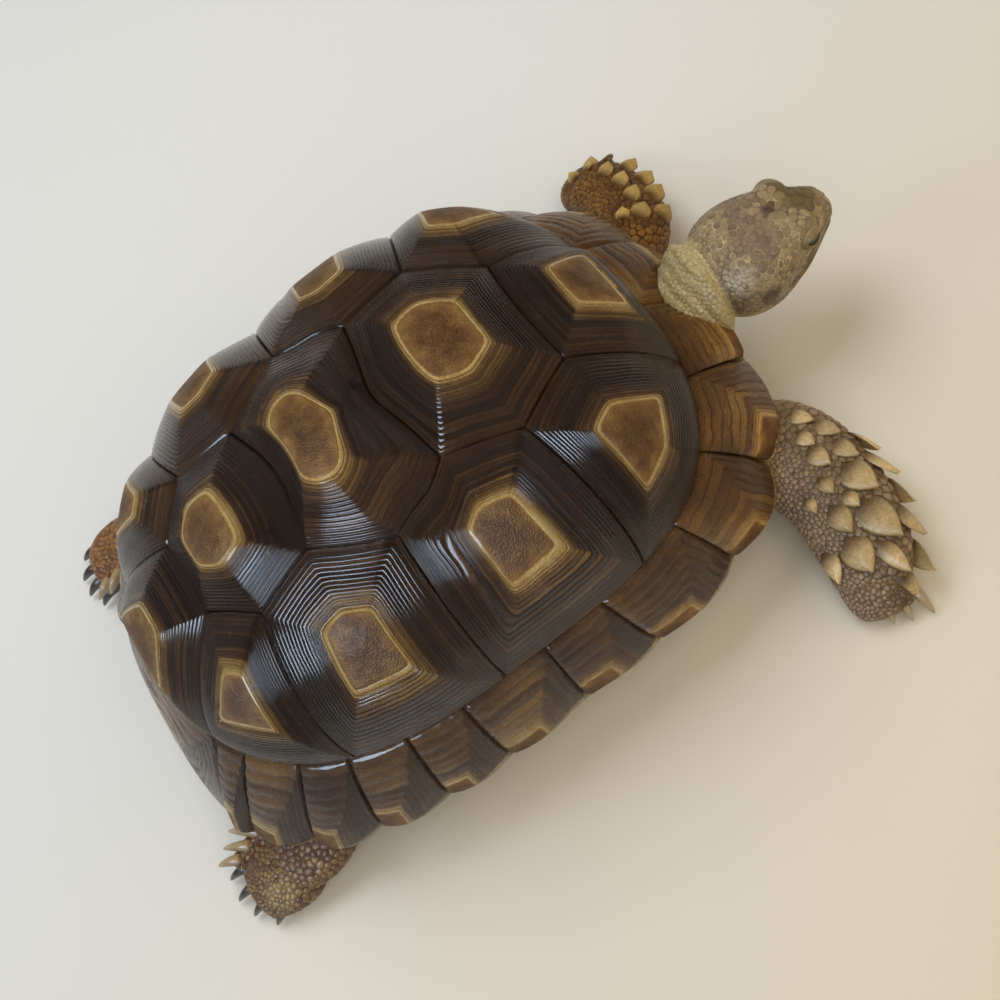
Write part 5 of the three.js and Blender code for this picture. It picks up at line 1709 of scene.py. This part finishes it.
def add_coat(region, material, slot):
    """The scales of one region: its leaves first, then small ones where there is room."""
    kind = REGIONS.index(region)
    rng = np.random.default_rng(FIRST_DRAW + kind)
    mine = skin_regions == kind
    mine &= (skin_points[:, 1] < HIDDEN["front"] - 1) | (skin_points[:, 1] > HIDDEN["rear"])
    candidates, ways = skin_points[mine], skin_normals[mine]
    open_skin = ~bare(candidates, region)
    candidates, ways = candidates[open_skin], ways[open_skin]
    radii = scale_radii(candidates, ways, region)
    leaves, covered = [], []
    for middle, lie, length, width, lift in LEAVES.get(region, ()):
        way = unit(np.array(lie, float))
        spot, normal = settle([np.array(middle) - way * length * LEAF_ROOT])
        longer, higher = LEAF_GROWTH[region]
        shape = (length * longer, width, lift * higher, LEAF_BLUNTNESS[region])
        leaves.append((leaf(spot[0], normal[0], way, *shape), spot[0]))
        covered.append(spot[0] + way * LEAF_ROOT * length)
        near = np.linalg.norm(candidates - spot[0] - way * 0.35 * length, axis=1) < width * 0.8
        candidates, ways, radii = candidates[~near], ways[~near], radii[~near]
    picked = spread(candidates, radii, rng)
    seeds, ways, radii = candidates[picked], ways[picked], radii[picked]
    form = FORM.get(region, FORM["limb"])
    points, faces, data = pebbles(seeds, ways, lie_at(seeds, region), radii, rng, form)
    colour = flesh_colour(seeds, np.full(len(seeds), kind), 0)
    odd_share, odd_colour = ODD_SCALES[region]
    odd = (rng.uniform(0, 1, len(seeds)) < odd_share)[:, None] * rng.uniform(0.3, 0.9, (len(seeds), 1))
    span = SHADES["neck" if region == "neck" else "other"]
    shades = rng.uniform(1 - span, 1 + span, (len(seeds), 1))
    colour = lerp(colour, np.array(odd_colour), odd) * shades
    # Small scales near the leaves are painted darker, as painted shade in the gaps between leaves, and a
    # little paler farther off.
    if covered:
        reach = np.min(np.linalg.norm(seeds[:, None] - np.array(covered)[None], axis=2), axis=1)
        colour = colour * lerp(SHADE_BETWEEN_LEAVES, 1.12, smoothstep(reach, 2.2, 6.0))[:, None]
    tints, edges = [colour[data["owner"]]], [data["edge"]]
    unwrap = [root_place(seeds, region)[data["owner"]] + data["spot"] * PATCH / 2]
    parts = [(points, faces)]
    for (leaf_points, leaf_faces, found), spot in leaves:
        parts.append((leaf_points, leaf_faces))
        shade = flesh_colour(spot[None], np.array([kind]), 0)[0] * rng.uniform(0.85, 1.05)
        # A leaf is painted dark at its root, as painted shade where the scale before it overlaps, and pale
        # towards its tip: partly its own paler horn, partly painted light on the lifted tip.
        dark = shade * np.array([0.4, 0.32, 0.24])
        pale = np.array(FLESH[region][2]) * rng.uniform(0.85, 1.3)
        tints.append(lerp(dark, pale, smoothstep(found["along"], 0.08, 0.6)[:, None]))
        edges.append(found["edge"] * 0.9)
        unwrap.append(root_place(spot[None], region) + found["spot"] * PATCH / 2)
    data = dict(
        values={"edge": np.concatenate(edges)},
        colours={"tint": np.vstack(tints)},
        unwrap=np.vstack(unwrap),
    )
    add_piece(f"scales_{region}", *merged(parts), material, slot, **data)


horny = scale_material()
for region_name in REGIONS[1:]:
    add_coat(region_name, horny, "head" if region_name == "head" else "skin")


# ---- Beak ----

BEAK_HORN = [(0.3, (0.12, 0.08, 0.035)), (0.5, (0.2, 0.145, 0.065)), (0.72, (0.33, 0.25, 0.12))]


def beak_material():
    n = Nodes("beak")
    place = n.place()
    colour = n.ramp(n.noise(place, 260, 3), BEAK_HORN)
    return n.finish(colour, 0.36, n.grain(place, 1400, 3, 0.00007), Specular_IOR_Level=0.5)


BEAK_COLUMNS = 90
BEAK_ORIGIN = 11.0  # the rays that find the skin start here, ahead of the neck's end
BEAK_TURN = 82
SHEATH_DEPTH = 0.8
# Pairs of share of the sheath's height and how far it stands out.
UPPER_PROFILE = [(-0.05, -0.8), (0.0, -0.1), (0.02, 0.2), (0.12, 0.34), (0.35, 0.36), (0.6, 0.3),
                 (0.8, 0.2), (0.93, 0.05), (1.0, -0.3)]
LOWER_PROFILE = [(0.0, -0.3), (0.04, 0.16), (0.16, 0.3), (0.4, 0.36), (0.7, 0.34), (0.92, 0.14),
                 (1.0, -0.15), (1.05, -0.8)]


def skin_ahead(angle, height):
    """Where a level ray from inside the snout meets the skin, and the ray."""
    ray = head_way((math.sin(angle), math.cos(angle), 0))
    start = from_head([(0, BEAK_ORIGIN, height)])[0]
    hit = TREE.ray_cast(Vector(start), Vector(ray))[0]
    return (start + ray * 4 if hit is None else np.array(hit)), ray


def beak_sheet(bottom, top, profile):
    """A sheath over the jaw between two heights, each a function of how far ahead and of the angle."""
    turn = np.radians(np.linspace(-BEAK_TURN, BEAK_TURN, BEAK_COLUMNS))
    aheads = [float(to_head(skin_ahead(angle, MOUTH_LINE)[0])[1]) for angle in turn]
    rows = []
    for share, out in profile:
        row = []
        for angle, ahead in zip(turn, aheads):
            hit, ray = skin_ahead(angle, lerp(bottom(ahead, angle), top(ahead, angle), share))
            row.append(hit + ray * out)
        row = np.array(row)
        for _ in range(2):
            row[1:-1] = (row[:-2] + 2 * row[1:-1] + row[2:]) / 4
        rows.append(row)
    return np.stack(rows)


def upper_edge(ahead, angle):
    """The cutting edge of the upper beak: hooked at the tip, a little arched beside it."""
    hook = 1.1 * math.exp(-((angle / 0.2) ** 2))
    arch = 0.25 * math.exp(-(((abs(angle) - 0.5) / 0.25) ** 2))
    return MOUTH_LINE + 0.1 - hook + arch


def lower_edge(ahead, angle):
    return MOUTH_LINE - 0.15 - 0.9 * math.exp(-((angle / 0.22) ** 2))


def over_edge(ahead, angle):
    return float(beak_top(ahead)) + 0.3


def under_edge(ahead, angle):
    return float(beak_under(ahead)) - 0.2


def add_beak(material):
    sheets = {
        "beak_upper": beak_sheet(upper_edge, over_edge, UPPER_PROFILE),
        "beak_lower": beak_sheet(under_edge, lower_edge, LOWER_PROFILE),
    }
    middle = from_head([(0, BEAK_ORIGIN, 0)])[0]
    for name, sheet in sheets.items():
        inner = sheet + unit(middle - sheet) * SHEATH_DEPTH
        points, faces = closed_strip(sheet, inner)
        add_piece(name, points, orient(points, faces), material, "head")


add_beak(beak_material())


# ---- Eyes ----

IRIS = [(0.35, (0.03, 0.014, 0.006)), (0.65, (0.09, 0.05, 0.02))]
# Pairs of share of the way from the lids' root to the slit and how far they stand out.
LID_PROFILE = [(0.0, 0.55), (0.12, 0.86), (0.25, 1.0), (0.36, 0.88), (0.47, 0.98), (0.58, 0.84),
               (0.7, 0.9), (0.8, 0.78), (0.88, 0.84), (0.95, 0.8), (1.0, 0.55), (1.0, 0.2), (0.97, -0.25)]


def eye_material():
    """A dark iris and a pupil. gaze is 1 where the eye looks."""
    n = Nodes("eye")
    gaze = n.attribute("gaze")
    iris = n.ramp(n.noise(n.place(), 900, 3), IRIS)
    colour = n.mix(n.range(gaze, 0.9, 0.93), iris, (0.004, 0.003, 0.003))
    return n.finish(colour, 0.05, Coat_Weight=0.6, Specular_IOR_Level=0.6)


def lid_patch(spot, gaze, lean):
    """Both lids as one ring of skin round the slit, from under the scales in to the eyeball."""
    level = unit(np.cross(gaze, np.array([0, 0, 1.0])))
    upright = np.cross(level, gaze)
    turn = turns(64)
    wide, tall = LID["slit"]
    tilt = math.radians(LID["tilt"]) * lean
    slit = 1 / np.sqrt((np.cos(turn - tilt) / wide) ** 2 + (np.sin(turn - tilt) / tall) ** 2)
    slit = slit * (1 - 0.25 * np.sin(turn) ** 2)
    radius = EYE_SET["radius"]
    rows = []
    for share, out in LID_PROFILE:
        angle = np.radians(lerp(LID["reach"], slit, share))[:, None]
        across = level * np.cos(turn)[:, None] + upright * np.sin(turn)[:, None]
        way = gaze * np.cos(angle) + across * np.sin(angle)
        upper = 1 + 0.18 * np.maximum(np.sin(turn), 0)[:, None]
        rows.append(spot + way * (radius + LID["thick"] * out * upper))
    inner = [spot + unit(row - spot) * (radius - 0.3) for row in rows[::-1]]
    ring = np.stack(rows + inner[1:-1])
    points = ring.reshape(-1, 3)
    count, columns = ring.shape[:2]
    faces = grid_faces(count, columns, True)
    last = grid_faces(2, columns, True)
    last = np.where(last < columns, last + (count - 1) * columns, last - columns)
    share = np.repeat(np.linspace(0, 1, count), columns)
    return points, orient(points, [faces, last]), share


def add_eyes():
    material = eye_material()
    for side, name in ((1, "left"), (-1, "right")):
        spot = from_head([sided(EYE_SET["place"], side)])[0]
        gaze = head_way(sided(GAZE, side))
        points, faces = ball(spot, [EYE_SET["radius"]] * 3, 24, 36)
        values = {"gaze": unit(points - spot) @ gaze}
        add_piece(f"eyeball_{name}", points, faces, material, "eye", [f"eye_{name}"], values=values)
        points, faces, share = lid_patch(spot, gaze, side)
        tint = flesh_colour(points, np.full(len(points), HEAD_REGION), 0) * 0.9
        dark = smoothstep(share, 0.36, 0.46)[:, None]
        colours = {"tint": lerp(tint, tint * 0.35, dark)}
        add_piece(f"lids_{name}", points, faces, flesh, "head", colours=colours)


add_eyes()


# ---- Claws ----


def claw_lines(claws):
    """Root and tip of each claw of a foot."""
    corners = np.array(claws["corners"], float)
    heading = math.radians(claws["heading"])
    for i in range(claws["count"]):
        share = i / (claws["count"] - 1)
        bow = np.array([math.cos(heading), math.sin(heading)]) * claws["bow"] * math.sin(math.pi * share)
        edge = lerp(corners[0], corners[1], share) + bow
        turn = heading + math.radians(claws["fan"]) * (share - 0.5)
        ahead = np.array([math.cos(turn), math.sin(turn)])
        root, tip = edge - 2 * ahead, edge + ahead * lerp(*claws["lengths"], share**2)
        yield np.array([*root, claws["height"]]), np.array([*tip, 0.9])


CLAW_ROWS = 18
CLAW_COLUMNS = 20
# Colours from the root to the tip.
DARK_CLAW = [(0.0, (0.09, 0.06, 0.04)), (0.5, (0.05, 0.035, 0.028)), (1.0, (0.16, 0.12, 0.09))]
PALE_CLAW = [(0.0, (0.42, 0.29, 0.15)), (0.5, (0.5, 0.38, 0.22)), (1.0, (0.62, 0.5, 0.32))]


def claw_mesh(root, tip, radius):
    """A claw or spur, bowed upwards and tapered to a point."""
    line = tip - root
    length = np.linalg.norm(line)
    along = line / length
    side = unit(np.cross(np.array([0, 0, 1.0]), along))
    up = np.cross(along, side)
    turn = turns(CLAW_COLUMNS)
    rings = []
    for share in np.linspace(0, 1, CLAW_ROWS):
        centre = root + line * share + up * 0.16 * length * math.sin(math.pi * share)
        size = radius * (1 - share) ** 0.62 * 0.92 + 0.05
        ridge = 1 + 0.1 * np.cos(2 * turn + np.pi)
        beside = side * (size * 0.85 * ridge * np.cos(turn))[:, None]
        over = up * (size * 1.05 * ridge * np.sin(turn))[:, None]
        rings.append(centre + beside + over)
    return capped(rings)


def claw_material():
    n = Nodes("claw")
    place = n.place()
    share = n.attribute("share")
    pale = n.attribute("pale")
    colour = n.mix(pale, n.ramp(share, DARK_CLAW), n.ramp(share, PALE_CLAW))
    streak = n.noise(n.vector(n.times(share, 2.0), n.attribute("turn"), 0.0), 3.0, 2)
    normal = n.grain(place, 2500, 2, 0.00003, n.bump(streak, 0.0001))
    return n.finish(colour, 0.32, normal, Coat_Weight=0.2)


def add_claw_piece(name, parts, pale, material):
    """Claws or spurs as one piece. share runs from the root to the tip and turn round it."""
    points, faces = merged(parts)
    share = np.concatenate([np.repeat(np.linspace(0, 1, CLAW_ROWS), CLAW_COLUMNS), [0, 1]])
    turn = np.concatenate([np.tile(np.arange(CLAW_COLUMNS), CLAW_ROWS), [0, 0]])
    values = {
        "share": np.tile(share, len(parts)),
        "turn": np.tile(turn, len(parts)),
        "pale": np.full(len(points), pale),
    }
    add_piece(name, points, faces, material, "skin", values=values)


def add_claws(material):
    for name, limb in LIMBS.items():
        parts = []
        for root, tip in claw_lines(limb["claws"]):
            length = np.linalg.norm(tip - root)
            parts.append(claw_mesh(root, tip, limb["claws"]["radius"] * (0.8 + 0.06 * length)))
        pale = 0.9 if "fore" in name else 0.0
        add_claw_piece(name.replace("leg", "foot").replace("_", "_claws_"), parts, pale, material)


def add_spurs(material):
    for name, pairs in SPURS.items():
        parts = [claw_mesh(root, tip, SPUR_RADIUS) for root, tip in pairs]
        add_claw_piece(name.replace("hindleg", "spurs"), parts, 0.85, material)


claw_horn = claw_material()
add_claws(claw_horn)
add_spurs(claw_horn)


# ---- Floor and light ----

# The floor's colour turns from cool to warm across it: painted light, cool on the animal's left and rear,
# warm towards its front right where the warm lamps shine.
FLOOR = {
    "half": 1.6,
    "painted_cool_light": (0.83, 0.84, 0.85),
    "warm": (0.8, 0.71, 0.53),
    "painted_warm_light_way": (-0.92, -0.39, 0),  # towards the warm side
    "change": (-0.06, 0.2),  # where along that way it turns warm, in metres
}


def add_floor():
    half = FLOOR["half"]
    points = np.array([[-half, -half, 0], [half, -half, 0], [half, half, 0], [-half, half, 0]]) / MM
    mesh = make_mesh("floor", points - PLACE, [np.array([[0, 1, 2, 3]])])
    floor = link("floor", mesh)
    n = Nodes("floor")
    place = n.place()
    grain = n.noise(place, 900, 3)
    # Painted light: the floor's colour turns warm towards the front right.
    along = n.add("VectorMath", {0: place, 1: FLOOR["painted_warm_light_way"]}, operation="DOT_PRODUCT")
    painted_warmth = n.range(along.outputs["Value"], *FLOOR["change"])
    colour = n.mix(painted_warmth, FLOOR["painted_cool_light"], FLOOR["warm"])
    mesh.materials.append(n.finish(colour, 0.62, n.bump(grain, 0.00004)))


# Direction in degrees round from the animal's front towards its left, height in degrees, distance,
# size, power, colour and whether the light shows only in reflections or only on dull surfaces.
LIGHTS = {
    "key": (95, 62, 0.55, 0.4, 1.45, (0.97, 1.0, 1.0), False),
    "window": (-140, 43, 0.7, 0.3, 5.6, (0.63, 0.8, 1.0), True),
    "sky": (165, 38, 0.6, 0.3, 0.7, (0.8, 0.9, 1.0), False),
    "right": (-90, 55, 0.6, 0.6, 1.1, (1.0, 0.88, 0.66), False),
    "front": (-20, 45, 0.6, 0.6, 0.85, (1.0, 0.76, 0.44), False),
}


LIGHT_AIM = (0, 0, 25)
WORLD = {"colour": (1.0, 0.97, 0.93), "strength": 0.14}


def add_lights():
    aim = Vector(to_frame(LIGHT_AIM))
    for name, (around, height, distance, size, power, colour, shows) in LIGHTS.items():
        away = toward(around, height)
        data = bpy.data.lights.new(name, "AREA")
        data.shape = "DISK"
        data.size = size
        data.energy = power
        data.color = colour
        light = link(name, data)
        light.visible_glossy = shows
        light.visible_diffuse = not shows
        light.location = aim + away * distance
        light.rotation_euler = away.to_track_quat("Z", "Y").to_euler()
    world = bpy.data.worlds.new("world")
    world.use_nodes = True
    background = world.node_tree.nodes["Background"]
    background.inputs["Color"].default_value = (*WORLD["colour"], 1)
    background.inputs["Strength"].default_value = WORLD["strength"]
    bpy.context.scene.world = world


add_floor()
add_lights()
bpy.context.scene.view_settings.view_transform = "Standard"
